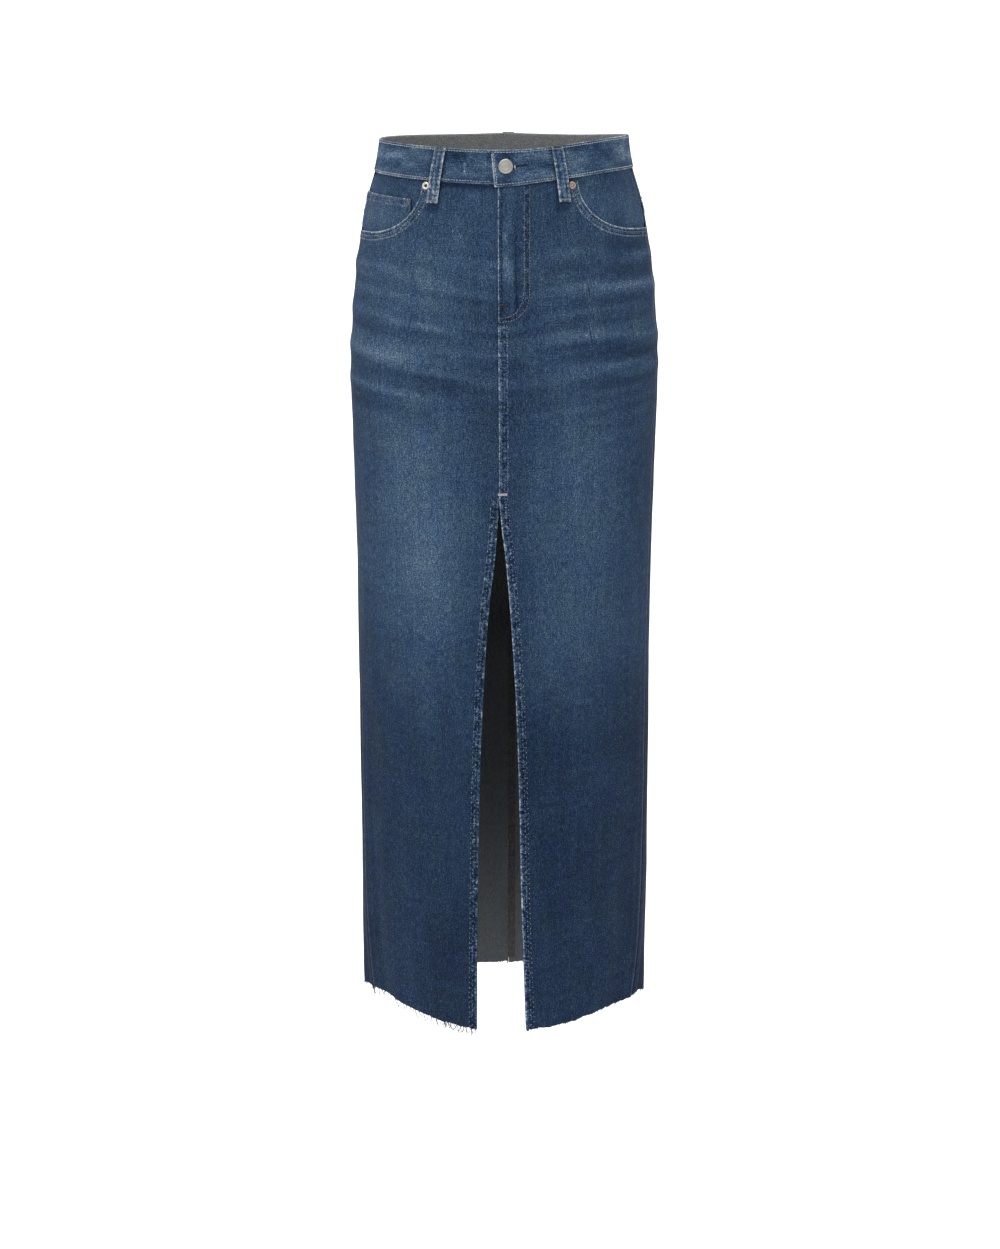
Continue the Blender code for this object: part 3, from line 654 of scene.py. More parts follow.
# The unevenness of the cloth: how fine it is across and along, its detail, roughness and weight.
YARNS = {
    "warp": ((640, 140, 1), 3, 0.62, 0.56),
    "weft": ((180, 640, 1), 3, 0.62, 0.18),
    "streaks": ((270, 10, 1), 3, 0.6, 0.12),
    "clouds": ((120, 80, 1), 3, 0.6, 0.12),
    "grain": ((800, 660, 1), 2, 0.7, 1.15),
}
TWILL_SCALE, FLECK_SCALE, CAST_SCALE = (560, 300, 1), (900, 200, 1), (34, 22, 1)
FLECK_START, FLECK_WEIGHT, TWILL_WEIGHT = 0.64, 0.9, 0.04


def denim_material(name, stops, other_stops, contrast=1.0, roughness=0.9):
    """Washed denim: cloudy dye, thick and thin yarns both ways, and a fine twill."""
    nodes = Nodes(name)
    cloth = nodes.attribute("cloth").outputs["Vector"]
    # fade holds the cloth's wear together with the painted light and shade added to it
    value = nodes.attribute("fade").outputs["Fac"]
    yarns = {}
    for kind, (scale, detail, unevenness, weight) in YARNS.items():
        yarns[kind] = nodes.noise(cloth, scale, detail, unevenness)
        value = nodes.add_weighted(value, yarns[kind], weight * contrast)
    fleck = nodes.noise(cloth, FLECK_SCALE, 2, 0.5)
    bright_fleck = nodes.math("MAXIMUM", nodes.math("SUBTRACT", fleck, FLECK_START), 0.0)
    value = nodes.math("MULTIPLY_ADD", bright_fleck, FLECK_WEIGHT * contrast, value)
    twill = nodes.add("ShaderNodeTexWave", wave_type="BANDS", bands_direction="DIAGONAL")
    nodes.link(nodes.scaled(cloth, TWILL_SCALE), twill.inputs["Vector"])
    twill.inputs["Scale"].default_value = 0.5
    twill.inputs["Distortion"].default_value = 0.8
    value = nodes.add_weighted(value, twill.outputs["Fac"], TWILL_WEIGHT * contrast)
    cast = nodes.math("MULTIPLY_ADD", nodes.noise(cloth, CAST_SCALE, 3, 0.6), 3.2, -1.15)
    cast.node.use_clamp = True
    colour = nodes.blend(cast, nodes.ramp(value, stops), nodes.ramp(value, other_stops))
    nodes.link(colour, nodes.shader.inputs["Base Color"])
    warp, weft = nodes.math("MULTIPLY", yarns["warp"], 0.6), nodes.math("MULTIPLY", yarns["weft"], 0.5)
    height = nodes.math("MULTIPLY_ADD", twill.outputs["Fac"], 0.35, nodes.math("ADD", warp, weft))
    nodes.bump(height, 0.5, 0.0005)
    nodes.surface(roughness, 0.08)
    nodes.shader.inputs["Sheen Weight"].default_value = 0.015
    nodes.shader.inputs["Sheen Roughness"].default_value = 0.5
    return nodes.material


def thread_material(name, light, dark):
    """Twisted cotton thread, a little uneven in colour."""
    nodes = Nodes(name)
    place = nodes.add("ShaderNodeTexCoord").outputs["Object"]
    twist = nodes.noise(place, (900, 900, 900), 3, 0.6)
    patches = nodes.math("MULTIPLY", nodes.noise(place, (45, 45, 45), 2, 0.5), 0.5)
    value = nodes.math("ADD", nodes.math("MULTIPLY", twist, 0.5), patches)
    colour = nodes.ramp(value, ((0.36, dark), (0.60, light)))
    nodes.link(colour, nodes.shader.inputs["Base Color"])
    nodes.bump(twist, 0.5, 0.0003)
    nodes.surface(0.8, 0.25)
    return nodes.material


def metal_material(name, light, dark, roughness, mottling=60):
    nodes = Nodes(name)
    place = nodes.add("ShaderNodeTexCoord").outputs["Object"]
    tarnish = nodes.noise(place, (mottling * 6,) * 3, 4, 0.65)
    nodes.link(nodes.ramp(tarnish, ((0.35, dark), (0.62, light))), nodes.shader.inputs["Base Color"])
    rough = nodes.math("MULTIPLY_ADD", tarnish, 0.25, roughness - 0.12)
    nodes.link(rough, nodes.shader.inputs["Roughness"])
    nodes.bump(nodes.noise(place, (2500, 2500, 2500), 2), 0.12, 0.0002)
    nodes.shader.inputs["Metallic"].default_value = 1.0
    return nodes.material


DENIM = denim_material("denim", INDIGO, INDIGO_GREENISH)
DENIM_REVERSE = denim_material("denim_reverse", REVERSE, REVERSE_BROWNISH, 0.7, 0.95)
THREAD_COLOURS = {
    "pale": ((214, 214, 212), (150, 154, 160)),
    "rose": ((174, 168, 166), (100, 98, 108)),
    "brown": ((168, 156, 152), (92, 84, 92)),
    "ochre": ((124, 98, 60), (72, 58, 40)),
    "tack": ((176, 168, 162), (98, 90, 90)),
    "sand": ((226, 222, 218), (178, 172, 170)),
    "rust": ((132, 100, 90), (72, 54, 54)),
    "dark": ((30, 37, 56), (12, 17, 28)),
    "raw": ((166, 163, 159), (112, 110, 110)),
}
THREADS = {
    word: thread_material("thread_" + word, dye(*light), dye(*dark))
    for word, (light, dark) in THREAD_COLOURS.items()
}
BUTTON_METAL = metal_material("button_metal", srgb(172, 171, 165), srgb(156, 155, 149), 0.42, 20)
# The two rivet heads are one metal, painted as a lit and a shaded copy: the wearer's right one pale and silvery as a
# painted highlight, the wearer's left one pinker as in painted shade.
RIVET_LIT_COPY = metal_material("rivet_metal", srgb(236, 230, 226), srgb(214, 200, 192), 0.34)
RIVET_CENTRE = metal_material("rivet_centre", srgb(96, 76, 66), srgb(62, 48, 42), 0.5)
RIVET_SHADED_COPY = metal_material("rivet_copper", srgb(186, 164, 154), srgb(142, 120, 112), 0.36)


# ---------------------------------------------------------------- making meshes


def finish_mesh(name, vertices, faces, materials, slot, fade=None, cloth=None, kinds=None, sharp=50):
    """A smooth shaded object with the attributes that the cloth's materials read."""
    mesh = bpy.data.meshes.new(name)
    mesh.from_pydata(np.asarray(vertices).reshape(-1, 3).tolist(), [], faces)
    for material in materials:
        mesh.materials.append(material)
    if kinds is not None:
        mesh.polygons.foreach_set("material_index", np.asarray(kinds, np.int32))
    if fade is not None:
        layer = mesh.attributes.new("fade", "FLOAT", "POINT")
        layer.data.foreach_set("value", np.asarray(fade, np.float32).ravel())
    if cloth is not None:
        layer = mesh.attributes.new("cloth", "FLOAT_VECTOR", "POINT")
        layer.data.foreach_set("vector", (np.asarray(cloth) * MM).astype(np.float32).ravel())
    mesh.shade_smooth()
    mesh.set_sharp_from_angle(angle=math.radians(sharp))
    mesh.update()
    made = bpy.data.objects.new(name, mesh)
    bpy.context.scene.collection.objects.link(made)
    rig.ride(made, "root")
    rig.slot(made, slot)
    return made


def grid_faces(columns, rows, first=0, flipped=False):
    """Quads of a grid whose vertices are numbered column by column."""
    i, j = np.meshgrid(np.arange(columns - 1), np.arange(rows - 1), indexing="ij")
    a = (first + i * rows + j).ravel()
    quads = np.column_stack([a, a + 1, a + rows + 1, a + rows])
    return quads[:, ::-1] if flipped else quads


def shell(name, s, z, outer, inner, fade, slot="denim", inner_fade=0.4, grain=None):
    """A closed wall of cloth between two distances from the skin, over a grid of places.

    It stands in for the frame's node of the same name.
    """
    s, z, outer, inner, fade = np.broadcast_arrays(s, z, outer, inner, fade)
    columns, rows = s.shape
    count = columns * rows
    flipped = s[-1, 0] < s[0, 0]
    vertices = np.concatenate([skin(s, z, outer).reshape(-1, 3), skin(s, z, inner).reshape(-1, 3)])
    front = grid_faces(columns, rows, 0, flipped)
    back = grid_faces(columns, rows, count, not flipped)
    numbers = np.arange(count).reshape(columns, rows)
    rim = np.concatenate([numbers[0], numbers[1:, -1], numbers[-1, -2::-1], numbers[-2:0:-1, 0]])
    following = np.roll(rim, -1)
    edge = np.column_stack([rim, rim + count, following + count, following])
    if flipped:
        edge = edge[:, ::-1]
    faces = np.concatenate([front, back, edge])
    kinds = np.concatenate([np.zeros(len(front)), np.ones(len(back)), np.zeros(len(edge))])
    across, up = (s, z) if grain is None else grain
    places = np.stack([across, up, np.zeros_like(s)], -1).reshape(-1, 3)
    both_places = np.concatenate([places, places + (500, 0, 0)])  # so that the two sides differ
    both_fades_and_shading = np.concatenate([fade.ravel(), np.broadcast_to(inner_fade, s.shape).ravel()])
    sides = (DENIM, DENIM_REVERSE)
    made = finish_mesh(
        name + "_cloth", vertices, faces.tolist(), sides, slot, both_fades_and_shading, both_places, kinds
    )
    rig.replaces(made, name)
    return made


def even_path(points, step):
    """The same line of (s, z) places, with a point at every step."""
    points = np.asarray(points, float)
    along = np.append(0, np.cumsum(np.linalg.norm(np.diff(points, axis=0), axis=1)))
    count = max(2, int(round(along[-1] / step)) + 1)
    even = np.linspace(0, along[-1], count)
    return np.column_stack([np.interp(even, along, points[:, k]) for k in (0, 1)]), even


def sideways(path):
    """Unit steps to the left of a path, on the laid-out cloth."""
    ahead = np.gradient(path, axis=0)
    ahead /= np.linalg.norm(ahead, axis=1, keepdims=True)
    return np.column_stack([-ahead[:, 1], ahead[:, 0]])


def beside(path, distance):
    """The path moved to its left."""
    path, _ = even_path(path, 2.0)
    return path + sideways(path) * distance


Look = namedtuple("Look", "lift rows pucker period slant fade edge far_edge dots speckle")
STRIP_SHARES = np.array(
    [-0.03, 0, 0.03, 0.09, 0.17, 0.26, 0.36, 0.46, 0.56, 0.66, 0.76, 0.85, 0.93, 0.98, 1.02]
)


def strip_fade(look, s, z, along, width, dips, seed):
    """Wear of a sewn strip: pale edges, dark needle holes, and specks."""
    across = STRIP_SHARES * width
    patchy = 0.96 + 0.14 * soft_noise(along, seed, 5, 1, seed + 2)
    fade = look.edge * patchy * bump(across, 0.1, 0.85)[:, None]
    fade = fade + look.far_edge * patchy * bump(across, width - 0.3, 1.0)[:, None]
    travel = along + 1.2 * soft_noise(along, seed, 7, 1, seed + 5)
    punched = 0.55 + 0.45 * np.sin(2 * math.pi * travel / NEEDLE_PITCH)
    fade = fade - look.dots * dips * punched
    specks = soft_noise(s, z, 2.2, 2.2, seed + 3) + 0.8 * soft_noise(s, z, 1.1, 1.1, seed + 4)
    return fade + look.speckle * specks


def sewn_strip(name, path, width, base, look, seed, node, inside=False, fade_and_shading_at=None):
    """A turned or felled strip beside a seam of a node, with puckers between its rows of stitches.

    The strip lies to the left of the path. base is a function of (s, z): how far out it lies.
    """
    path, along = even_path(path, 0.7)
    side = sideways(path)
    off = STRIP_SHARES[:, None] * width
    s, z = path[:, 0] + off * side[:, 0], path[:, 1] + off * side[:, 1]
    body = between(-0.03, 0.10, STRIP_SHARES) * (1 - between(0.88, 1.02, STRIP_SHARES))
    height = (look.lift * body - 0.12 * (1 - body))[:, None] + np.zeros_like(s)
    travel = along + 2.6 * soft_noise(along, seed, 11, 1, seed)
    slanted = look.slant * np.abs(STRIP_SHARES[:, None] - 0.5)
    strength = look.pucker * (0.65 + 0.9 * soft_noise(along, seed, 8, 1, seed + 1))
    puckers = strength * np.sin(2 * math.pi * (travel / look.period + slanted))
    puckers = puckers * np.sin(math.pi * np.clip(STRIP_SHARES, 0, 1))[:, None] ** 0.6
    dips = np.asarray(sum(bump(STRIP_SHARES * width, row, 0.9) for row in look.rows))[:, None]
    height += puckers - 0.35 * look.lift * dips
    fade = look.fade + 0.32 * puckers + strip_fade(look, s, z, along, width, dips, seed)
    if fade_and_shading_at is not None:
        fade = fade + fade_and_shading_at(s, z) - BASE_FADE
    points = skin(s, z, base(s, z) + (-height if inside else height))
    across_s, across_z = s[1, 0] - s[0, 0], z[1, 0] - z[0, 0]
    flipped = across_s * (z[0, 1] - z[0, 0]) - across_z * (s[0, 1] - s[0, 0]) > 0
    faces = grid_faces(len(STRIP_SHARES), len(path), 0, flipped != inside)
    places = np.stack([s, z, np.zeros_like(s)], -1)
    material = DENIM_REVERSE if inside else DENIM
    made = finish_mesh(name, points, faces.tolist(), (material,), "denim", fade, places, sharp=80)
    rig.replaces(made, node)


def tube_runs(name, runs, radius, material, slot="denim_worn", sides=5):
    """Many short round threads as one mesh. A run is a list of points, thinner at its ends."""
    vertices, faces = [], []
    turns = [(math.cos(turn), math.sin(turn)) for turn in 2 * math.pi * np.arange(sides) / sides]
    for run in runs:
        run = np.asarray(run, float)
        ahead = np.gradient(run, axis=0)
        ahead /= np.linalg.norm(ahead, axis=1, keepdims=True) + 1e-12
        helper = np.array([0.31, 0.42, 0.85]) if abs(ahead[0, 2]) < 0.8 else np.array([0.9, 0.3, 0.1])
        first = np.cross(ahead, helper)
        first /= np.linalg.norm(first, axis=1, keepdims=True)
        second = np.cross(ahead, first)
        start, last = len(vertices), len(run) - 1
        for k, point in enumerate(run):
            wide = radius * (0.45 if k in (0, last) else 1.0)
            vertices += [point + wide * (x * first[k] + y * second[k]) for x, y in turns]
        for a in range(start, start + last * sides, sides):
            for q in range(sides):
                b = (q + 1) % sides
                faces.append((a + q, a + b, a + b + sides, a + q + sides))
        faces.append(tuple(range(start + sides - 1, start - 1, -1)))
        faces.append(tuple(range(start + last * sides, start + (last + 1) * sides)))
    return finish_mesh(name, vertices, faces, (material,), slot, sharp=80)


def stitches(path, base, pitch=3.1, length=2.3, sink=0.12, seed=5, radius=0.30, inside=False):
    """Threads along a row of sewing, as runs for tube_runs."""
    path, _ = even_path(path, pitch)
    rng = np.random.default_rng(seed)
    ahead = np.gradient(path, axis=0)
    ahead /= np.linalg.norm(ahead, axis=1, keepdims=True)
    runs = []
    for place, way in zip(path[:-1] + ahead[:-1] * pitch / 2, ahead[:-1]):
        off = rng.normal(0, 0.10)
        reach = length * (1 + rng.normal(0, 0.05))
        t = np.array([-0.5, -0.28, 0.28, 0.5]) * reach
        high = np.array([-sink - 0.25, radius * 0.7, radius * 0.7, -sink - 0.25])
        s = place[0] + t * way[0] - off * way[1]
        z = place[1] + t * way[1] + off * way[0]
        runs.append(skin(s, z, base(s, z) + (-high if inside else high)))
    return runs


def sew(name, lines, base, radius, thread, pitch=3.1, length=2.3, seed=5, high=0.30, inside=False):
    """Rows of stitches along lines of (s, z) places, as one mesh of one thread."""
    runs = []
    for line in lines:
        runs += stitches(line, base, pitch, length, seed=seed, radius=high, inside=inside)
    tube_runs(name, runs, radius * MM, THREADS[thread])


def bar_tack(centre, way, width, base, threads=9, depth=1.5):
    """A short satin bar: threads side by side over a core. Its places are (s, z)."""
    way = np.asarray(way, float) / np.linalg.norm(way)
    cross = np.array([-way[1], way[0]])
    t = np.array([-0.5, -0.3, 0, 0.3, 0.5]) * depth
    runs = []
    for k in range(threads):
        middle = np.asarray(centre) + way * width * (k / (threads - 1) - 0.5)
        s, z = middle[0] + t * cross[0], middle[1] + t * cross[1]
        runs.append(skin(s, z, base(s, z) + np.array([-0.2, 0.35, 0.5, 0.35, -0.2])))
    return runs


def level(distance):
    """A surface that lies at one distance from the skin."""
    return lambda s, z: distance + 0 * s


def above(surface, distance):
    """A surface that lies further out than another one."""
    return lambda s, z: surface(s, z) + distance


def turned(name, profile, steps, at, facing, material, slot):
    """A solid turned from (radius, height) points, standing on a place in metres, facing outwards."""
    rings = [p for p in profile if p[0] > 0]
    turns = 2 * math.pi * np.arange(steps) / steps
    vertices = [(r * math.cos(turn), r * math.sin(turn), h) for r, h in rings for turn in turns]
    faces = []
    for start in range(0, (len(rings) - 1) * steps, steps):
        for k in range(steps):
            a, b = start + k, start + (k + 1) % steps
            faces.append((a, b, b + steps, a + steps))
    faces.append(tuple(range(steps - 1, -1, -1)))
    last = (len(rings) - 1) * steps
    vertices.append((0, 0, profile[-1][1]))
    faces += [(last + k, last + (k + 1) % steps, len(vertices) - 1) for k in range(steps)]
    upright = Vector(facing).to_track_quat("Z", "Y").to_matrix()
    placed = [tuple(Vector(at) + upright @ (Vector(v) * MM)) for v in vertices]
    return finish_mesh(name, placed, faces, (material,), slot, sharp=35)


# ---------------------------------------------------------------- panels


def graded(start, end, coarse, fine_at=(), fine=0.8, reach=7.0):
    """Distances from start to end, close together near the places in fine_at."""
    marks, at = [start], start
    while at < end - 0.3:
        near = min((abs(at - f) for f in fine_at), default=1e9)
        at += coarse if near > reach else fine + (coarse - fine) * (near / reach) ** 1.5
        marks.append(min(at, end))
    marks[-1] = end
    return np.array(marks)


def front_grid(side, start):
    """Grid of a front panel: columns from its centre edge to the side seam, rows downwards."""
    reach = float(side_seam(-70))
    shares = graded(0, reach, 3.2, (0, SCOOP_START, reach)) / reach
    top = np.full(len(shares), -30.0)
    for _ in range(6):
        u = start(top) + shares * (side_seam(top) - GAP / 2 - start(top))
        top = scoop_height(side * u, left_seam(u) if side > 0 else waist_seam(-u)) - GAP / 2
    down = graded(0, 940, 3.2, (0, 940)) / 940
    bottom = np.full(len(shares), float(HEM_HEIGHT))
    for _ in range(3):
        u = start(bottom) + shares * (side_seam(bottom) - GAP / 2 - start(bottom))
        bottom = hem(side * u)
    z = top[:, None] + (bottom - top)[:, None] * down
    u = start(z) + shares[:, None] * (side_seam(z) - GAP / 2 - start(z))
    return side * u, z


def start_of_left(z):
    return np.where(z >= SLIT_TOP, centre_front(z), slit_edge(z, 1))


def start_of_right(z):
    under = centre_front(z) - 0.6 + (LAP_UNDER + 0.6) * between(SLIT_TOP + 4, SLIT_TOP + 40, z)
    below = slit_edge(z, -1) - 0.6 * between(SLIT_TOP - 60, SLIT_TOP, z)
    return -np.where(z >= SLIT_TOP, under, below)


def front_fade_and_shading(s, z):
    fade = panel_fade_and_shading(s, z)
    to_side = side_seam(z) - np.abs(s)
    low = between(-560, -680, z)
    fade += (0.24 + 0.10 * low) * bump(to_side, 2.4, 1.2) - (0.26 - 0.10 * low) * np.exp(-to_side / 0.8)
    # a painted highlight along a fold near the wearer's right side seam, low down
    fade += 0.05 * (s < 0) * bump(to_side, 30, 8) * between(-700, -780, z)
    # painted shadow under the waistband
    below_band = (left_seam(s) if s[0, 0] > 0 else waist_seam(s)) - z
    fade -= 0.22 * np.exp(-np.maximum(below_band, 0) / 2.0)
    # painted shadow beside the front belt loops
    for loop in LOOPS[:2]:
        middle = loop.at_bottom - (loop.at_bottom - loop.at_top) * 0.2
        off = np.maximum(np.abs(s - middle) - LOOP_WIDTH / 2, 0)
        fade -= 0.12 * between(-50, -47, z) * np.exp(-off / 1.6)
    # a pressed line beside each side seam, where the seam's layers lie behind
    fade += 0.06 * bump(to_side, 14 + 3 * soft_noise(z, 0, 60, 1, 53), 2.6) * between(-330, -480, z)
    return fade


def fly_wear_and_shade(s, z):
    """Rubbed patches beside the fly's edge, and painted shade in the crease along the zip's far side and beside the
    fly's edge.
    """
    across = s - centre_front(z)
    along = between(-168, -150, z) * (1 - between(-30, -22, z))
    patches = 0.5 + 0.9 * soft_noise(across, z, 7, 11, 58)
    rubbed = bump(across, 9.5, 5.5) * between(-158, -146, z) * (1 - between(-70, -48, z))
    # painted shade in the crease and beside the fly's edge
    shade = 0.16 * bump(across, 19.5, 1.4) + 0.04 * bump(across, 23, 3) + 0.10 * bump(across, 3.4, 1.3)
    return along * (-0.012 + 0.19 * patches * rubbed + 0.10 * bump(across, 16.8, 1.1) - shade)


def front_panel(name, side, start):
    s, z = front_grid(side, start)
    lift = lap_lift(s, z) if side > 0 else 0
    u = side * s
    turned_in = (u - start(z) < SLIT_HEM_WIDTH) & (z < SLIT_TOP - 2)
    inner = -CLOTH / 2 + lift - CLOTH * turned_in
    fade = front_fade_and_shading(s, z) + (fly_wear_and_shade(s, z) if side > 0 else 0)
    groove = 0.8 * bump(s - centre_front(z), 19, 1.6) * between(-168, -150, z) if side > 0 else 0
    inside = 0.4 + 0.1 * soft_noise(s, z, 40, 60, 54)
    shell(name, s, z, CLOTH / 2 + lift - groove, inner, fade, inner_fade=inside)


def back_grid(side, top_seam, bottom_seam, coarse):
    """Grid of a back piece, from the side seam to the centre back."""
    reach = float(half_length(-60) - side_seam(-60))
    shares = graded(0, reach, 3.6, (0, reach)) / reach

    def place(z):
        begin = side_seam(z) + GAP / 2
        return side * (begin + shares * (half_length(z) - GAP / 2 - begin))

    top, bottom = np.full(len(shares), -30.0), np.full(len(shares), -900.0)
    for _ in range(5):
        top = top_seam(place(top)) - GAP / 2
        bottom = bottom_seam(place(bottom))
    deep = float(np.mean(top - bottom))
    down = graded(0, deep, coarse, (0, deep)) / deep
    z = top[:, None] + (bottom - top)[:, None] * down
    begin = side_seam(z) + GAP / 2
    return side * (begin + shares[:, None] * (half_length(z) - GAP / 2 - begin)), z


def back_fade_and_shading(s, z):
    fade = panel_fade_and_shading(s, z)
    past_seam = np.abs(s) - side_seam(z)
    fade += 0.20 * bump(past_seam, 2.6, 1.1) - 0.26 * np.exp(-past_seam / 0.8)
    puckered = np.sin(2 * math.pi * (z + 3 * soft_noise(z, 0, 20, 1, 59)) / 15)
    fade += 0.07 * puckered * np.exp(-past_seam / 9) * between(-560, -680, z)
    fade += 0.10 * bump(np.abs(s), 300, 70) * bump(z, -170, 60)
    # painted shade on the back pieces where they turn away beside the side seams
    fade -= 0.12 * np.exp(-past_seam / 7)
    return fade - 0.05


def back_pieces(side, word):
    outer, inner = CLOTH / 2, -CLOTH / 2
    s, z = back_grid(side, yoke_seam, hem, 3.6)
    inside = 0.455 + 0.045 * between(-560, -960, z) + 0.08 * soft_noise(s, z, 30, 60, 57)
    shell("back_" + word, s, z, outer, inner, back_fade_and_shading(s, z), inner_fade=inside)
    s, z = back_grid(side, waist_seam, lambda s: yoke_seam(s) + GAP / 2, 3.0)
    shell("yoke_" + word, s, z, outer, inner, back_fade_and_shading(s, z) + 0.03)


# ---------------------------------------------------------------- pockets and fly


def facing_fade_and_shading(s, z):
    base = BASE_FADE + np.where(s < 0, 0.035, 0.0)
    # lighter down the middle of the pocket opening, leaving painted shade just under the waistband
    return base + 0.06 * soft_noise(s, z, 20, 20, 61) + 0.05 * bump(z, -45, 22)


def facing_depth(side, s, z, depth):
    """How deep a pocket facing lies: it comes up to the yoke's level at the side seam."""
    to_seam = side_seam(z) - side * s
    above_scoop = z - scoop_height(s, waist_seam(s))
    opening = between(0, 8, above_scoop) * (1 - between(14, 18, z + 18 - waist_seam(s)))
    return depth * (1 - 0.85 * (1 - between(1, 15, to_seam)) * opening)


def pocket_facing(side, word, depth):
    begin = SCOOP_START - FACING_REACH
    end = float(side_seam(-50)) - GAP / 2
    shares = graded(0, end - begin, 2.4, (end - begin,)) / (end - begin)
    top = waist_seam(side * (begin + shares * (end - begin))) + SEAM_ALLOWANCE

    def place(z):
        return side * (begin + shares[:, None] * (side_seam(z) - GAP / 2 - begin))

    edge = scoop_height(place(np.full(len(shares), -80.0)[:, None])[:, 0], top - SEAM_ALLOWANCE)
    z = top[:, None] + (edge - FACING_REACH * 0.7 - top)[:, None] * np.linspace(0, 1, 52)
    s = place(z)
    lies = facing_depth(side, s, z, depth)
    shell("pocket_facing_" + word, s, z, lies + CLOTH / 2, lies - CLOTH / 2, facing_fade_and_shading(s, z))


def coin_depth(s, z):
    """How deep the coin pocket lies, a layer above the facing."""
    return facing_depth(-1, s, z, -2 * LAYER) + CLOTH + GAP


def coin_pocket():
    across = np.linspace(COIN_INNER, COIN_OUTER, 40)
    down = np.linspace(0, 1, 34)
    s = np.repeat(-across[:, None], len(down), 1)
    z = waist_seam(s) - COIN_TOP - (COIN_DEPTH - COIN_TOP) * down
    share = (across[:, None] - COIN_INNER) / (COIN_OUTER - COIN_INNER)
    s = -(COIN_INNER + share * (side_seam(z) - 1.5 - COIN_INNER))
    lies = coin_depth(s, z)
    shell("coin_pocket", s, z, lies + CLOTH / 2, lies - CLOTH / 2, facing_fade_and_shading(s, z) + 0.03)


def scoop_path(side, distance=0.0):
    """The pocket opening's edge, from the rivet to the side seam, in (s, z)."""
    share = 1 - np.cos(np.linspace(0.06, math.pi / 2, 60))
    u = np.append(SCOOP_START + SCOOP_WIDTH * share, float(side_seam(-78)) - 0.5)
    z = scoop_height(u, waist_seam(side * u))
    path = np.column_stack([side * u, z])
    return beside(path, -side * distance) if distance else path


def fly_path(distance=0.0):
    """A row of the fly's J, from the waist seam round to the centre front."""
    width = FLY_WIDTH - distance
    end = float(waist_seam(0)) - FLY_LENGTH + distance * 0.75
    turn = np.linspace(0, math.pi / 2, 40)
    power = 2 / FLY_SQUARENESS
    s = np.append(np.full(12, width), 0.5 + (width - 0.5) * np.cos(turn[1:]) ** power)
    curve = end + FLY_ROUND * (1 - np.sin(turn[1:]) ** power)
    z = np.append(np.linspace(float(left_seam(width)) - 1, end + FLY_ROUND, 12), curve)
    path, _ = even_path(np.column_stack([s + centre_front(z), z]), 1.5)
    return path


def fly_facing():
    across = np.linspace(LAP_UNDER + 1, FLY_WIDTH + 2, 16)
    power = FLY_SQUARENESS
    curve = np.clip(1 - (across / (FLY_WIDTH + 2)) ** power, 0, 1) ** (1 / power)
    top = waist_seam(across) + SEAM_ALLOWANCE
    bottom = waist_seam(0) - FLY_LENGTH + FLY_ROUND * (1 - curve)
    z = top[:, None] + (bottom - top)[:, None] * np.linspace(0, 1, 60)
    s = centre_front(z) + across[:, None]
    shell("fly_facing", s, z, -CLOTH / 2 - GAP, -1.5 * CLOTH - GAP, BASE_FADE + 0.02)


# ---------------------------------------------------------------- waistband, loops, hardware

BAND_INSIDE = -CLOTH / 2
BAND_OUTSIDE = BAND_INSIDE + BAND
HOLE_MIDDLE = float(band_top(0) + waist_seam(0)) / 2 + BUTTON_ABOVE_MIDDLE


def band_lift(run):
    """How far the waistband's buttoned end stands out over its other end."""
    lifted = (BAND + GAP) * (1 - between(BAND_UNDERLAP + 3, BAND_UNDERLAP + 38, run))
    return np.where(run < -BAND_OVERLAP - 0.01, 0, lifted)


def band_surface(s, z):
    """Outer face of the waistband, for what lies on it. s is signed."""
    return BAND_OUTSIDE + band_lift(s)


def hole_line(s):
    """Height of the buttonhole's slit, which the button drags a little askew."""
    return HOLE_MIDDLE - 0.6 + 0.16 * (s - BUTTON_AT - 8)


BAND_FULL = 2 * float(half_length(0))
# The rows of the waistband's grid, as distances down from its top edge.
BAND_ROWS = np.array(
    [0, 0.25, 0.7, 1.4, 2.2, 3.2, 4.4, 6, 8, 10, 12, 14, 15.5, 16.5, 17.2, 17.9, 18.6, 19.3, 20, 21]
    + [22.5, 24.5, 26.5, 28.5, 30.5, 32, 33.2, 34.3, 35.2, 35.8, 36.2]
)


def band_grid():
    """Places of the waistband: the run round it, s, z and how far its buttoned end slants."""
    end = BAND_FULL + BAND_UNDERLAP
    run = graded(-BAND_OVERLAP, end, 2.8, np.arange(-5, 40, 8.0), fine=1.0, reach=8)
    turned_back = run > BAND_FULL / 2
    signed = np.where(turned_back, run - BAND_FULL, run)[:, None]
    droop = np.where(turned_back, 0, lap_droop(run))[:, None]
    s = np.repeat(signed, len(BAND_ROWS), 1)
    for _ in range(3):
        z = band_top(s) - BAND_ROWS * (1 + droop / BAND_ROWS[-1])
        s = signed * half_length(z) / half_length(0)
    slant = BAND_END_SLANT / BAND_HEIGHT * BAND_ROWS * (1 - between(-BAND_OVERLAP, 2, run))[:, None]
    corner = 2.2 * bump(BAND_ROWS, 0, 2.4) * (1 - between(-BAND_OVERLAP, -1, run))[:, None]
    return run[:, None], s + slant + corner, z, slant


def creased_y(s, z):
    """A Y-shaped crease beside the buttoned end."""
    arms = bump(s, -37 - 0.5 * (z - 2), 1.0) * between(-2, 3, z)
    arms = arms + bump(s, -37 + 0.8 * (z - 2), 1.0) * between(-2, 4, z)
    stem = bump(s, -37, 1.0) * (1 - between(-2, 2, z)) * between(-14, -8, z)
    return arms * (1 - between(9, 13, z)) + stem


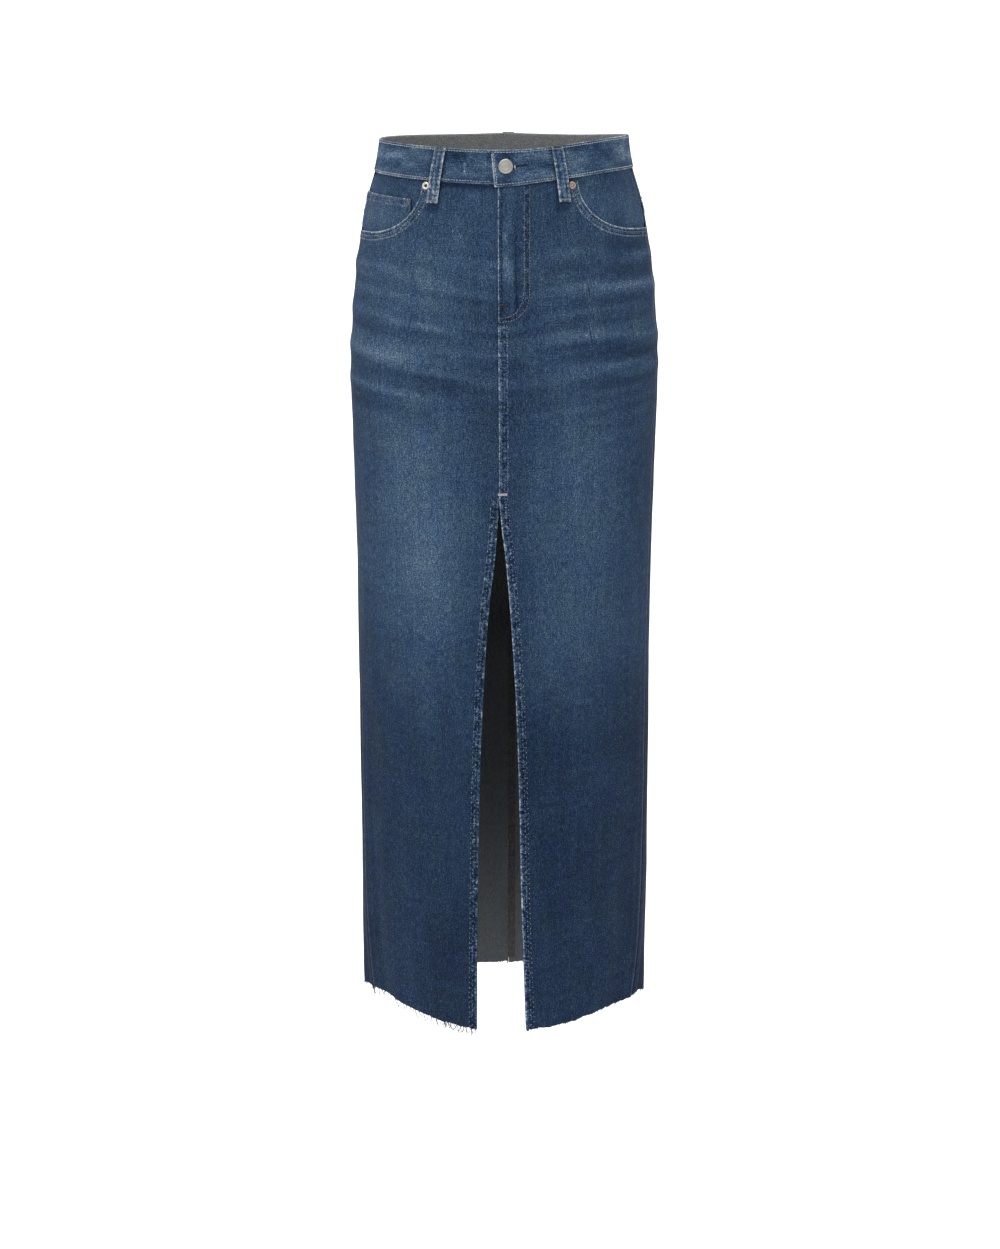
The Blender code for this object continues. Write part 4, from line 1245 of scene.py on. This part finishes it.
def band_fade_and_shading(run, s, z, slant, edge):
    """Wear of the waistband, with painted shade beside its buttoned end, round the button and beside the front belt
    loops, apart from what its puckers and rows add.
    """
    fade = BASE_FADE + 0.095 + 0.13 * soft_noise(s, z, 30, 10, 74)
    fade = fade + 0.08 * soft_noise(s, z, 10, 5, 75) + 0.30 * np.exp(-edge / 1.3)
    fade = fade + 0.09 * bump(np.abs(s), 150, 34) * bump(z, 10, 9)
    fade = fade + 0.07 * bump(s, 14, 12) * bump(z, -13, 6) + 0.20 * creased_y(s, z)
    fade = fade + 0.46 * edge_wear(s - slant + BAND_OVERLAP, 1.9, 76, s, z) * (run < 30)
    shaded = bump(s, -BAND_OVERLAP - 1.6, 1.8) + bump(s, BUTTON_AT, 10.5)
    fade = fade - 0.14 * shaded * (s > -16) * (BAND_ROWS > 3)
    fade = fade - 0.12 * bump(s, -38, 18) + 0.02 * bump(s, -110, 30) - 0.03 * bump(s, 96, 34)
    fade = fade + 0.07 * bump(s, -112, 24) * bump(z, -2, 8)
    # painted shadow beside the front belt loops
    for loop in LOOPS[:2]:
        down = BAND_ROWS / (BAND_HEIGHT + LOOP_BELOW_SEAM)
        off = np.abs(s - (loop.at_top + (loop.at_bottom - loop.at_top) * down)) - LOOP_WIDTH / 2
        fade = fade - 0.18 * np.exp(-np.maximum(off, 0) / 1.5)
    return fade


def waistband():
    run, s, z, slant = band_grid()
    edge = np.minimum(BAND_ROWS, BAND_ROWS[-1] - BAND_ROWS)
    rounding = 1.0 * np.exp(-edge / 0.6) + 0.25 * np.exp(-edge / 2.0)
    rows = bump(BAND_ROWS, 2.6, 0.8) + bump(BAND_ROWS, 33.6, 0.8)
    travel = s + 2 * soft_noise(s, 0, 17, 1, 71)
    by_edges = bump(BAND_ROWS, 1.6, 1.6) + bump(BAND_ROWS, 33.8, 2.2)
    pucker = np.sin(2 * math.pi * travel / 5.6) * by_edges
    ripple = 0.35 * soft_noise(s, z, 24, 14, 72) + 0.22 * soft_noise(s, z, 9, 9, 73)
    ripple *= np.sin(math.pi * BAND_ROWS / BAND_ROWS[-1]) ** 0.5
    near_hole = between(BUTTON_AT + 2, BUTTON_AT + 6, s) * (1 - between(28, 32, s)) * (run < 60)
    groove = near_hole * bump(z, hole_line(s), 0.6)
    drag = 0.8 * (run < 60) * bump(s, 30, 16) * bump(z, hole_line(s) + 2.5, 3.0)
    lift = band_lift(run)
    outer = BAND_OUTSIDE + lift - rounding + 0.16 * pucker - 0.22 * rows + ripple - groove + drag
    inner = BAND_INSIDE + lift + rounding
    fade = band_fade_and_shading(run, s, z, slant, edge)
    # the buttonhole's slit is darkened as painted shade in it
    fade = fade + 0.04 * pucker - 0.04 * rows - 0.24 * groove + 0.14 * ripple
    around = s + (run > BAND_FULL / 2) * 2 * half_length(z)
    shell("waistband", around, z, outer, inner, fade, inner_fade=0.85, grain=(z + 300, s))


def loop_frame(loop):
    """A belt loop's size and the places along it."""
    turn = half_length if loop.from_back else (lambda z: 0 * z)
    top_s = float(turn(0.0)) + loop.at_top
    top, seam = float(band_top(top_s)) - 0.6, float(waist_seam(top_s))
    bottom = seam - LOOP_BELOW_SEAM

    def place(share, across):
        z = top + (bottom - top) * share
        return turn(z) + loop.at_top + (loop.at_bottom - loop.at_top) * share + across, z

    def underside(s, z):
        on_band = between(seam - 6, seam + 1, z)
        share = np.clip((top - z) / (top - bottom), 0, 1)
        stand_off = LOOP_STAND_OFF * np.sin(math.pi * share) ** 0.8
        raised = 0 if loop.from_back else band_lift(s)
        return CLOTH / 2 + on_band * (BAND_OUTSIDE - CLOTH / 2 + raised) + stand_off + 2 * GAP

    return top, bottom, place, underside


LOOP_COLUMNS = np.array(
    [-1, -0.97, -0.9, -0.78, -0.66, -0.5, -0.3, -0.1, 0.1, 0.3, 0.5, 0.66, 0.78, 0.9, 0.97, 1]
)
ROW_SHARE = 0.42  # how far from a loop's middle its rows of stitches are, of its half width


def belt_loop(loop, number):
    top, bottom, place, underside = loop_frame(loop)
    length, half = top - bottom, LOOP_WIDTH / 2
    across = LOOP_COLUMNS[:, None] * half
    share = graded(0, length, 1.3, ()) / length
    s, z = np.broadcast_arrays(*place(share[None, :], across))
    edge = half - np.abs(across)
    along = share[None, :] * length
    rounding = 0.8 * np.exp(-edge / 0.45)
    rows = bump(np.abs(across), half * ROW_SHARE, 0.7)
    travel = along + 1.5 * soft_noise(along, number, 9, 1, 81)
    pucker = np.sin(2 * math.pi * travel / 4.6) * (1 - 0.5 * rows)
    base = underside(s, z)
    uneven = 0.25 * soft_noise(s, z, 6, 9, 82 + number)
    outer = base + LOOP - rounding - 0.30 * rows + 0.13 * pucker + uneven
    lightness_change = 0.17 if number else 0.215
    fade = BASE_FADE + lightness_change + 0.34 * np.exp(-edge / 0.9) - 0.17 * rows + 0.08 * pucker
    fade = fade + 0.10 * soft_noise(s, z, 5, 7, 83 + number)
    fade = fade + 0.14 * soft_noise(s, z, 1.8, 1.8, 93 + number)
    shell(loop.name, s, z, outer, base + rounding * 0.5, fade, slot="denim_worn")

    surface = above(underside, LOOP - 0.25)
    down = np.linspace(0.07, 0.93, 20)
    lines = [np.column_stack(place(down, way * half)) for way in (-ROW_SHARE, ROW_SHARE)]
    sew(loop.name + "_stitches", lines, surface, 0.30, "dark", 2.9, 2.0, 84 + number, 0.24)
    tacks = []
    for share in (0.045, 0.955):
        tacks += bar_tack(place(share, 0.0), (1, 0), LOOP_WIDTH - 2.4, surface, 13, 1.8)
    tube_runs(loop.name + "_tacks", tacks, 0.3 * MM, THREADS["tack"])


# Outlines of the turned metal parts, as radius and height over their lowest rim.
BUTTON_RIM = (
    *((7.5, 0), (8.0, 0.45), (8.1, 1.0), (8.0, 1.7), (7.6, 2.4), (7.1, 2.8), (6.7, 2.95)),
    *((6.35, 2.75), (6.1, 2.55), (4.6, 2.62), (3.4, 2.66), (3.15, 2.78), (2.9, 2.66), (1.5, 2.66)),
    (0, 2.66),
)
RIVET_RIM = (
    *((3.6, 0), (4.1, 0.15), (4.2, 0.5), (4.05, 0.95), (3.6, 1.3), (3.0, 1.4), (2.3, 1.25)),
    *((1.8, 0.7), (1.5, 0.45), (1.2, 0.6), (0.9, 1.1), (0.5, 1.3), (0, 1.4)),
)
RIVET_BURR = ((1.75, 0.66), (1.5, 0.52), (1.2, 0.66), (0.9, 1.16), (0.5, 1.36), (0, 1.45))


def raised(rim, base):
    return [(radius, base + height) for radius, height in rim]


def button():
    facing = read_form(WAYS_OUT, BUTTON_AT, HOLE_MIDDLE)
    pushed = folds(np.float64(BUTTON_AT), HOLE_MIDDLE) * MM
    at = skin(BUTTON_AT, HOLE_MIDDLE, 0) - facing * pushed
    shank, cap = 3.2, BAND_OUTSIDE + BAND + GAP + 0.5
    profile = [(shank, BAND_OUTSIDE + GAP), (shank, cap)] + raised(BUTTON_RIM, cap)
    made = turned("button_cap", profile, 72, at, facing, BUTTON_METAL, "button_metal")
    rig.replaces(made, "button")


def rivet_head(rivet, material):
    s = rivet.at
    z = float(waist_seam(s)) - rivet.below_seam
    base = CLOTH / 2 + GAP
    at, facing = skin(s, z, 0), read_form(WAYS_OUT, s, z)
    head = raised(RIVET_RIM, base)
    made = turned(rivet.name + "_head", head, 40, at, facing, material, "rivet_metal")
    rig.replaces(made, rivet.name)
    if rivet.at < 0:
        burr = raised(RIVET_BURR, base)
        turned(rivet.name + "_centre", burr, 24, at, facing, RIVET_CENTRE, "rivet_metal")


# ---------------------------------------------------------------- seams and sewing

SCOOP_LOOK = Look(0.75, (3.2, 7.4), 0.12, 4.6, 0.5, BASE_FADE + 0.09, 0.36, 0.13, 0.34, 0.13)
SLIT_LEFT_LOOK = Look(0.90, (4.4, 8.0), 0.26, 4.2, 0.9, BASE_FADE + 0.09, 0.38, 0.06, 0.36, 0.24)
SLIT_RIGHT_LOOK = Look(0.90, (3.2, 7.4), 0.26, 4.2, 0.9, BASE_FADE + 0.08, 0.10, 0.06, 0.38, 0.26)
CENTRE_LOOK = Look(0.65, (4.2, 8.0), 0.14, 4.8, 0.4, BASE_FADE + 0.07, 0.36, 0.10, 0.30, 0.20)
FLY_LOOK = Look(0.20, (3.6,), 0.14, 4.4, 0.5, BASE_FADE - 0.025, 0.0, 0.03, 0.12, 0.18)
FLY_EDGE_LOOK = Look(0.45, (3.4,), 0.12, 5.4, 0.3, BASE_FADE + 0.02, 0.36, 0.0, 0.30, 0.12)
FELLED_LOOK = Look(0.75, (1.8, 7.6), 0.16, 5.0, 0.4, BASE_FADE + 0.02, 0.18, 0.08, 0.16, 0.12)
COIN_LOOK = Look(0.70, (1.8, 7.0), 0.08, 4.8, 0.4, BASE_FADE + 0.10, 0.26, 0.14, 0.14, 0.12)
INSIDE_LOOK = Look(0.70, (1.8, 7.6), 0.08, 5.0, 0.3, 0.34, 0.06, 0.03, 0.0, 0.10)


def front_surface(s, z):
    """Outer face of the fronts."""
    return CLOTH / 2 + np.where(s > centre_front(z) - 1, lap_lift(s, z), 0)


def pocket_openings():
    for side, word in SIDES:
        name, node, seed = "scoop_" + word, "front_" + word, 90 + side
        path = scoop_path(side)
        guide = path[::-side]
        sewn_strip(name, guide, 9.4, front_surface, SCOOP_LOOK, seed, node, fade_and_shading_at=panel_fade_and_shading)
        lines = [scoop_path(side, distance) for distance in (4.0, 8.0)]
        sew(name + "_stitches", lines, above(front_surface, 0.55), 0.27, "rose", 3.0, 2.2, 93)
        end = path[-1] + (-side * 3.0, -4.6)
        tack = bar_tack(end, (0, 1), 7.0, above(front_surface, 0.6), 10, 2.0)
        tube_runs(name + "_tack", tack, 0.3 * MM, THREADS["tack"])


def slit_hems():
    z = np.linspace(SLIT_TOP - 1, HEM_HEIGHT + 2, 140)
    for (side, word), look in zip(SIDES, (SLIT_RIGHT_LOOK, SLIT_LEFT_LOOK)):
        name, node = "slit_hem_" + word, "front_" + word
        edge = slit_edge(z, side)
        path = np.column_stack([edge, z])[::side]
        width, seed = SLIT_HEM_WIDTH, 100 + side
        sewn_strip(name, path, width, front_surface, look, seed, node, fade_and_shading_at=panel_fade_and_shading)
        runs = []
        for distance in look.rows:
            line = np.column_stack([edge + side * (distance + 1.1), z])
            runs += stitches(line, above(front_surface, 0.72), 2.9, 1.2, seed=103, radius=0.22)
        tube_runs(name + "_stitches", runs[1::2], 0.24 * MM, THREADS["pale"])


def centre_seam():
    top = float(waist_seam(0)) - FLY_LENGTH - 2
    z = np.linspace(top, SLIT_TOP - 6, 80)
    path = np.column_stack([centre_front(z) + 0.1, z])
    look, node = CENTRE_LOOK, "front_left"
    sewn_strip("centre_seam", path, 10.2, front_surface, look, 110, node, fade_and_shading_at=panel_fade_and_shading)
    lines = [np.column_stack([centre_front(z) + distance, z]) for distance in (2.2, 8.9)]
    surface = above(front_surface, 0.5)
    sew("centre_seam_stitches", lines, surface, 0.26, "rose", NEEDLE_PITCH, 1.5, 112)
    middle = (centre_front(SLIT_TOP) + 3.8, SLIT_TOP + 3)
    tack = bar_tack(middle, (1, 0), 9.4, above(front_surface, 0.9), 17, 2.9)
    tube_runs("slit_tack", tack, 0.32 * MM, THREADS["sand"])


def fly():
    path, node = fly_path()[::-1], "front_left"
    sewn_strip("fly_band", path, 8.4, front_surface, FLY_LOOK, 115, node, fade_and_shading_at=panel_fade_and_shading)
    lines = [fly_path(distance) for distance in (0.8, 6.6)]
    sew("fly_stitches", lines, above(front_surface, 0.2), 0.36, "brown", 3.0, 2.2, 117)
    z = np.linspace(float(waist_seam(0)) - 1, float(waist_seam(0)) - FLY_LENGTH, 60)
    path = np.column_stack([centre_front(z) + 0.1, z])
    sewn_strip("fly_edge", path, 5.0, front_surface, FLY_EDGE_LOOK, 118, node, fade_and_shading_at=panel_fade_and_shading)
    middle = (centre_front(-146) + 5.5, -147)
    tack = bar_tack(middle, (1, 0), 8.0, above(front_surface, 0.3), 11, 1.6)
    tube_runs("fly_tack", tack, 0.28 * MM, THREADS["rust"])


def band_sewing():
    face = above(band_surface, -0.05)
    runs = []
    for drop in (2.6, 33.6):
        signed = np.linspace(-BAND_FULL / 2 + 1, -BAND_OVERLAP - 1, 300)
        line = np.column_stack([signed, band_top(signed) - drop])
        runs += stitches(line, level(BAND_OUTSIDE - 0.05), seed=121)
        signed = np.linspace(-BAND_OVERLAP + 3 + 0.1 * drop, BAND_FULL / 2 - 1, 300)
        droop = 1 + lap_droop(signed) / BAND_HEIGHT
        runs += stitches(np.column_stack([signed, band_top(signed) - drop * droop]), face, seed=122)
    drop = np.linspace(3.2, 33, 20)
    height = band_top(0) - drop * (1 + LAP_DROOP / BAND_HEIGHT)
    runs += stitches(np.column_stack([-BAND_OVERLAP + 2.6 + 0.13 * drop, height]), face, seed=123)
    tube_runs("waistband_stitches", runs, 0.36 * MM, THREADS["pale"])


def buttonhole():
    purl = []
    for s in np.arange(BUTTON_AT + 8.4, 30, 0.55):
        s = np.full(3, s)
        for way in (-1, 1):
            z = hole_line(s) + way * np.array([0.35, 0.8, 1.5])
            purl.append(skin(s, z, band_surface(s, z) + np.array([-0.5, 0.30, -0.1])))
    tube_runs("buttonhole_stitches", purl, 0.24 * MM, THREADS["dark"])
    end = (BUTTON_AT + 9.4, HOLE_MIDDLE - 0.4)
    tack = bar_tack(end, (0, 1), 2.4, above(band_surface, 0.2), 6, 1.8)
    tube_runs("buttonhole_tack", tack, 0.34 * MM, THREADS["sand"])


def yoke_seams():
    half = float(half_length(-60))
    for side, word in SIDES:
        name, node, seed = "yoke_seam_" + word, "yoke_" + word, 130 + side
        u = np.linspace(float(side_seam(-50)) + 2, half - 1, 60)
        path = np.column_stack([side * u, yoke_seam(side * u)])
        surface = level(CLOTH / 2)
        sewn_strip(name, path[::-side], 9.0, surface, FELLED_LOOK, seed, node, fade_and_shading_at=panel_fade_and_shading)
        lines = [path + (0, distance) for distance in (1.8, 7.4)]
        sew(name + "_stitches", lines, level(CLOTH / 2 + 0.5), 0.28, "pale", seed=133)


def centre_back():
    top = float(waist_seam(float(half_length(-60)))) - 1
    z = np.linspace(top, HEM_HEIGHT + 3, 200)

    def line(distance):
        return np.column_stack([half_length(z) + distance, z])

    surface = level(CLOTH / 2 + 0.3)
    sewn_strip("centre_back_seam", line(-0.2), 9.0, surface, FELLED_LOOK, 135, "back_right")
    lines = [line(1.6), line(7.2)]
    sew("centre_back_stitches", lines, level(CLOTH / 2 + 0.85), 0.28, "pale", seed=136)
    name, look, surface = "centre_back_inside", INSIDE_LOOK, level(-CLOTH / 2)
    sewn_strip(name, line(-8), 9.0, surface, look, 138, "back_left", inside=True)
    lines, surface = [line(-6.0), line(-0.8)], level(-CLOTH / 2 - 0.6)
    sew(name + "_stitches", lines, surface, 0.5, "ochre", length=2.6, seed=139, inside=True)


def coin_sewing():
    def face(out):
        return above(coin_depth, CLOTH / 2 + out)

    u = np.linspace(COIN_INNER, float(side_seam(-45)) - 1.5, 30)
    path = np.column_stack([-u, waist_seam(-u) - COIN_TOP])
    sewn_strip("coin_pocket_hem", path, 8.7, face(0), COIN_LOOK, 141, "coin_pocket")
    runs = []
    for drop in (1.8, 7.0):
        runs += stitches(path - (0, drop), face(0.5), 3.0, 2.1, seed=142)
    down = np.linspace(0, 34, 14)
    for across in (COIN_INNER + 2, COIN_OUTER - 6, COIN_OUTER):
        line = np.column_stack([np.full(14, -across), waist_seam(-across) - COIN_TOP - 8 - down])
        runs += stitches(line, face(0.1), 3.0, 2.1, seed=143)
    tube_runs("coin_pocket_stitches", runs, 0.26 * MM, THREADS["rose"])
    tacks = []
    for across in (COIN_INNER + 3.0, COIN_OUTER + 1):
        centre = (-across, float(waist_seam(-across)) - COIN_TOP - 4.2)
        tacks += bar_tack(centre, (0, 1), 4.4, face(0.6), 8, 2.6)
    tube_runs("coin_pocket_tacks", tacks, 0.3 * MM, THREADS["tack"])


def zip_teeth():
    """Small metal teeth along the closed zip, behind the fly."""
    middle, pitch = LAP_UNDER + 1, 1.5
    face = -1.5 * CLOTH - 2 * GAP - 2.4
    teeth = []
    for k in range(86):
        z = float(waist_seam(middle)) - 3 - pitch * k
        s = float(centre_front(z)) + middle + np.array([-2.2, 0.4]) * (1 if k % 2 else -1)
        teeth.append(skin(s, np.full(2, z), np.full(2, face)))
    made = tube_runs("zip_teeth", teeth, 0.42 * MM, BUTTON_METAL, "button_metal", sides=4)
    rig.replaces(made, "zip")


# ---------------------------------------------------------------- frayed hem


def loose_thread(s, length, lean, rng):
    """One thread that hangs from the raw edge, a little bent. s is signed."""
    t = np.linspace(0, 1, 6)
    away = (rng.normal(lean, 0.28) + rng.normal(0, 0.4) * t) * length * t
    out = 0.1 + rng.normal(0.6, 0.7) * t**1.5
    return skin(s + away, float(hem(np.float64(s))) + 0.6 - length * t, out)


def fringe():
    """Loose weft threads along the raw edge, most of them on the wearer's right front."""
    rng = np.random.default_rng(17)
    seam, half = float(side_seam(HEM_HEIGHT)), float(half_length(HEM_HEIGHT))
    slit_right, slit_left = float(slit_edge(HEM_HEIGHT, -1)), float(slit_edge(HEM_HEIGHT, 1))
    runs, s = [], -half + 1
    while s < half:
        if slit_right < s < slit_left:
            s = slit_left + 1
        lush = -seam - 2 < s < slit_right
        length = rng.uniform(5.5, 11.5) if lush else rng.uniform(1.5, 4.5)
        runs.append(loose_thread(s, length, 0.15, rng))
        s += max(2.2, rng.normal(5.2, 1.6)) if lush else rng.exponential(13.0) + 2
    for start, end in ((-55, -30), (-70, -59)):  # weft that has pulled out in loops
        t = np.linspace(0, 1, 40)
        zig = np.abs(np.mod(t * 4, 1) * 2 - 1)
        path = start + (end - start) * t
        place, height = path + 1.5 * np.sin(9 * t), hem(path) + 0.5 - 8 * zig
        runs.append(skin(place, height, 0.3 + 0.4 * np.sin(7 * t)))
    for _ in range(4):
        runs.append(loose_thread(-seam - rng.uniform(0, 5), 9, 0.5, rng))
    tube_runs("frayed_threads", runs, 0.44 * MM, THREADS["raw"], sides=4)
    fuzz = []
    for s in np.arange(-half + 1, half, 1.6):
        if not slit_right < s < slit_left:
            fuzz.append(loose_thread(s, rng.uniform(0.6, 1.8), 0, rng))
    corners = (
        (-seam, 9, 34, 3.6),
        (seam, 9, 14, 2.4),
        (slit_right - 4, 7, 16, 2.6),
        (slit_left + 4, 7, 26, 2.8),
    )
    for middle, width, count, length in corners:
        for _ in range(count):
            place = middle + width * rng.uniform(-0.5, 0.5)
            fuzz.append(loose_thread(place, length * rng.uniform(0.3, 1), 0, rng))
    tube_runs("frayed_fuzz", fuzz, 0.24 * MM, THREADS["dark"], sides=4)


# ---------------------------------------------------------------- the cut cloth

# Each piece's flat size in metres, as cut and without the seam allowances, which don't show.
Cut = namedtuple("Cut", "piece width length area held rests_on sewn_on")
FLAT_CUTS = (
    Cut("front_right_cloth", 0.227, 0.945, 0.182, "hung", ["waistband_cloth"],
        ["scoop_right", "slit_hem_right"]),
    Cut("front_left_cloth", 0.219, 0.948, 0.178, "hung", ["waistband_cloth"],
        ["scoop_left", "slit_hem_left", "fly_band", "fly_edge", "centre_seam"]),
    Cut("back_right_cloth", 0.252, 0.910, 0.220, "hung", ["yoke_right_cloth"], ["centre_back_seam"]),
    Cut("back_left_cloth", 0.252, 0.910, 0.220, "hung", ["yoke_left_cloth"], ["centre_back_inside"]),
    Cut("yoke_right_cloth", 0.230, 0.072, 0.0129, "hung", ["waistband_cloth"], ["yoke_seam_right"]),
    Cut("yoke_left_cloth", 0.230, 0.072, 0.0129, "hung", ["waistband_cloth"], ["yoke_seam_left"]),
    Cut("pocket_facing_right_cloth", 0.125, 0.100, 0.0092, "hung", ["waistband_cloth"], []),
    Cut("pocket_facing_left_cloth", 0.125, 0.100, 0.0092, "hung", ["waistband_cloth"], []),
    Cut("coin_pocket_cloth", 0.082, 0.0505, None, "laid", ["pocket_facing_right_cloth"],
        ["coin_pocket_hem"]),
    Cut("fly_facing_cloth", 0.030, 0.156, None, "hung", ["waistband_cloth"], []),
    Cut("waistband_cloth", 0.0365, 0.790, None, "draped", [], []),
)


def declare_cloth():
    """Says which pieces are sheets of cloth, and what they were cut to."""
    found = bpy.data.objects
    for cut in FLAT_CUTS:
        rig.sheet(
            found[cut.piece],
            flat=(cut.width, cut.length),
            held=cut.held,
            rests_on=cut.rests_on,
            area=cut.area,
            with_pieces=[found[name] for name in cut.sewn_on],
        )
    for loop in LOOPS:
        strip = found[loop.name + "_cloth"]
        size = (LOOP_WIDTH * MM, (BAND_HEIGHT + LOOP_BELOW_SEAM) * MM)
        sewn_on = [found[loop.name + "_stitches"], found[loop.name + "_tacks"]]
        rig.sheet(strip, flat=size, held="laid", rests_on=["waistband_cloth"], with_pieces=sewn_on)


# ---------------------------------------------------------------- studio


def studio():
    floor_height = -1.19
    profile = [(-30.0, 0.0), (2.2, 0.0)]
    rise = np.linspace(0.1, math.pi / 2, 14)
    profile += [(2.2 + 1.6 * math.sin(a), 1.6 - 1.6 * math.cos(a)) for a in rise]
    profile.append((3.8, 6.0))
    vertices = [(x, y, floor_height + z) for y, z in profile for x in (-30.0, 30.0)]
    faces = [(2 * k, 2 * k + 1, 2 * k + 3, 2 * k + 2) for k in range(len(profile) - 1)]
    mesh = bpy.data.meshes.new("backdrop")
    mesh.from_pydata(vertices, [], faces)
    mesh.shade_smooth()
    backdrop = bpy.data.objects.new("backdrop", mesh)
    bpy.context.scene.collection.objects.link(backdrop)
    paper = bpy.data.materials.new("backdrop_paper")
    paper.use_nodes = True
    shader = paper.node_tree.nodes["Principled BSDF"]
    shader.inputs["Base Color"].default_value = (0.90, 0.90, 0.90, 1)
    shader.inputs["Roughness"].default_value = 0.9
    shader.inputs["Specular IOR Level"].default_value = 0.1
    shader.inputs["Emission Color"].default_value = (1, 1, 1, 1)
    shader.inputs["Emission Strength"].default_value = 0.30
    mesh.materials.append(paper)
    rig.stage(backdrop)

    world = bpy.data.worlds.new("studio")
    world.use_nodes = True
    background = world.node_tree.nodes["Background"]
    background.inputs["Color"].default_value = (1, 1, 1, 1)
    background.inputs["Strength"].default_value = 0.80
    bpy.context.scene.world = world
    bpy.context.scene.view_settings.view_transform = "Standard"

    lights = (
        ("key", (-1.4, -2.2, 2.3), 1.0, 30),
        ("fill", (2.4, -2.8, 1.0), 2.4, 5),
        ("overhead", (0.0, 0.3, 2.4), 1.2, 20),
        ("backdrop_light", (0.0, 1.6, 2.8), 3.0, 60),
    )
    for name, place, size, watts in lights:
        lamp = bpy.data.lights.new(name, "AREA")
        lamp.size = size
        lamp.energy = watts
        made = bpy.data.objects.new(name, lamp)
        made.location = place
        target = Vector((0, 3.5, -0.5)) if name == "backdrop_light" else Vector((0, 0, -0.45))
        made.rotation_euler = (target - Vector(place)).to_track_quat("-Z", "Y").to_euler()
        bpy.context.scene.collection.objects.link(made)


def camera():
    """The photograph's view: from just above the waist, a little to the wearer's left."""
    turn, tilt, distance, height = math.radians(3.0), math.radians(11.683), 3.1, 0.118
    aside = -0.0045
    lens = bpy.data.cameras.new("camera")
    lens.lens = 79.55
    lens.sensor_width = 36
    made = bpy.data.objects.new("camera", lens)
    made.location = (
        aside * math.cos(turn) + distance * math.sin(turn),
        aside * math.sin(turn) - distance * math.cos(turn),
        height,
    )
    made.rotation_euler = (math.pi / 2 - tilt, 0, turn)
    bpy.context.scene.collection.objects.link(made)
    bpy.context.scene.camera = made


# ---------------------------------------------------------------- the whole skirt


def main():
    camera()
    studio()
    front_panel("front_right", -1, start_of_right)
    front_panel("front_left", 1, start_of_left)
    for side, word in SIDES:
        back_pieces(side, word)
    pocket_facing(1, "left", -LAYER)
    pocket_facing(-1, "right", -2 * LAYER)
    coin_pocket()
    fly_facing()
    waistband()
    for number, loop in enumerate(LOOPS):
        belt_loop(loop, number)
    button()
    rivet_head(RIVETS[0], RIVET_LIT_COPY)
    rivet_head(RIVETS[1], RIVET_SHADED_COPY)
    pocket_openings()
    slit_hems()
    fly()
    centre_seam()
    band_sewing()
    buttonhole()
    yoke_seams()
    centre_back()
    coin_sewing()
    zip_teeth()
    fringe()
    declare_cloth()


main()
with open("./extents.json", "w") as sizes:
    json.dump({"cad": [list(corner) for corner in CAD_BOX], "visual": [list(corner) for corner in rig.bounds()]}, sizes)
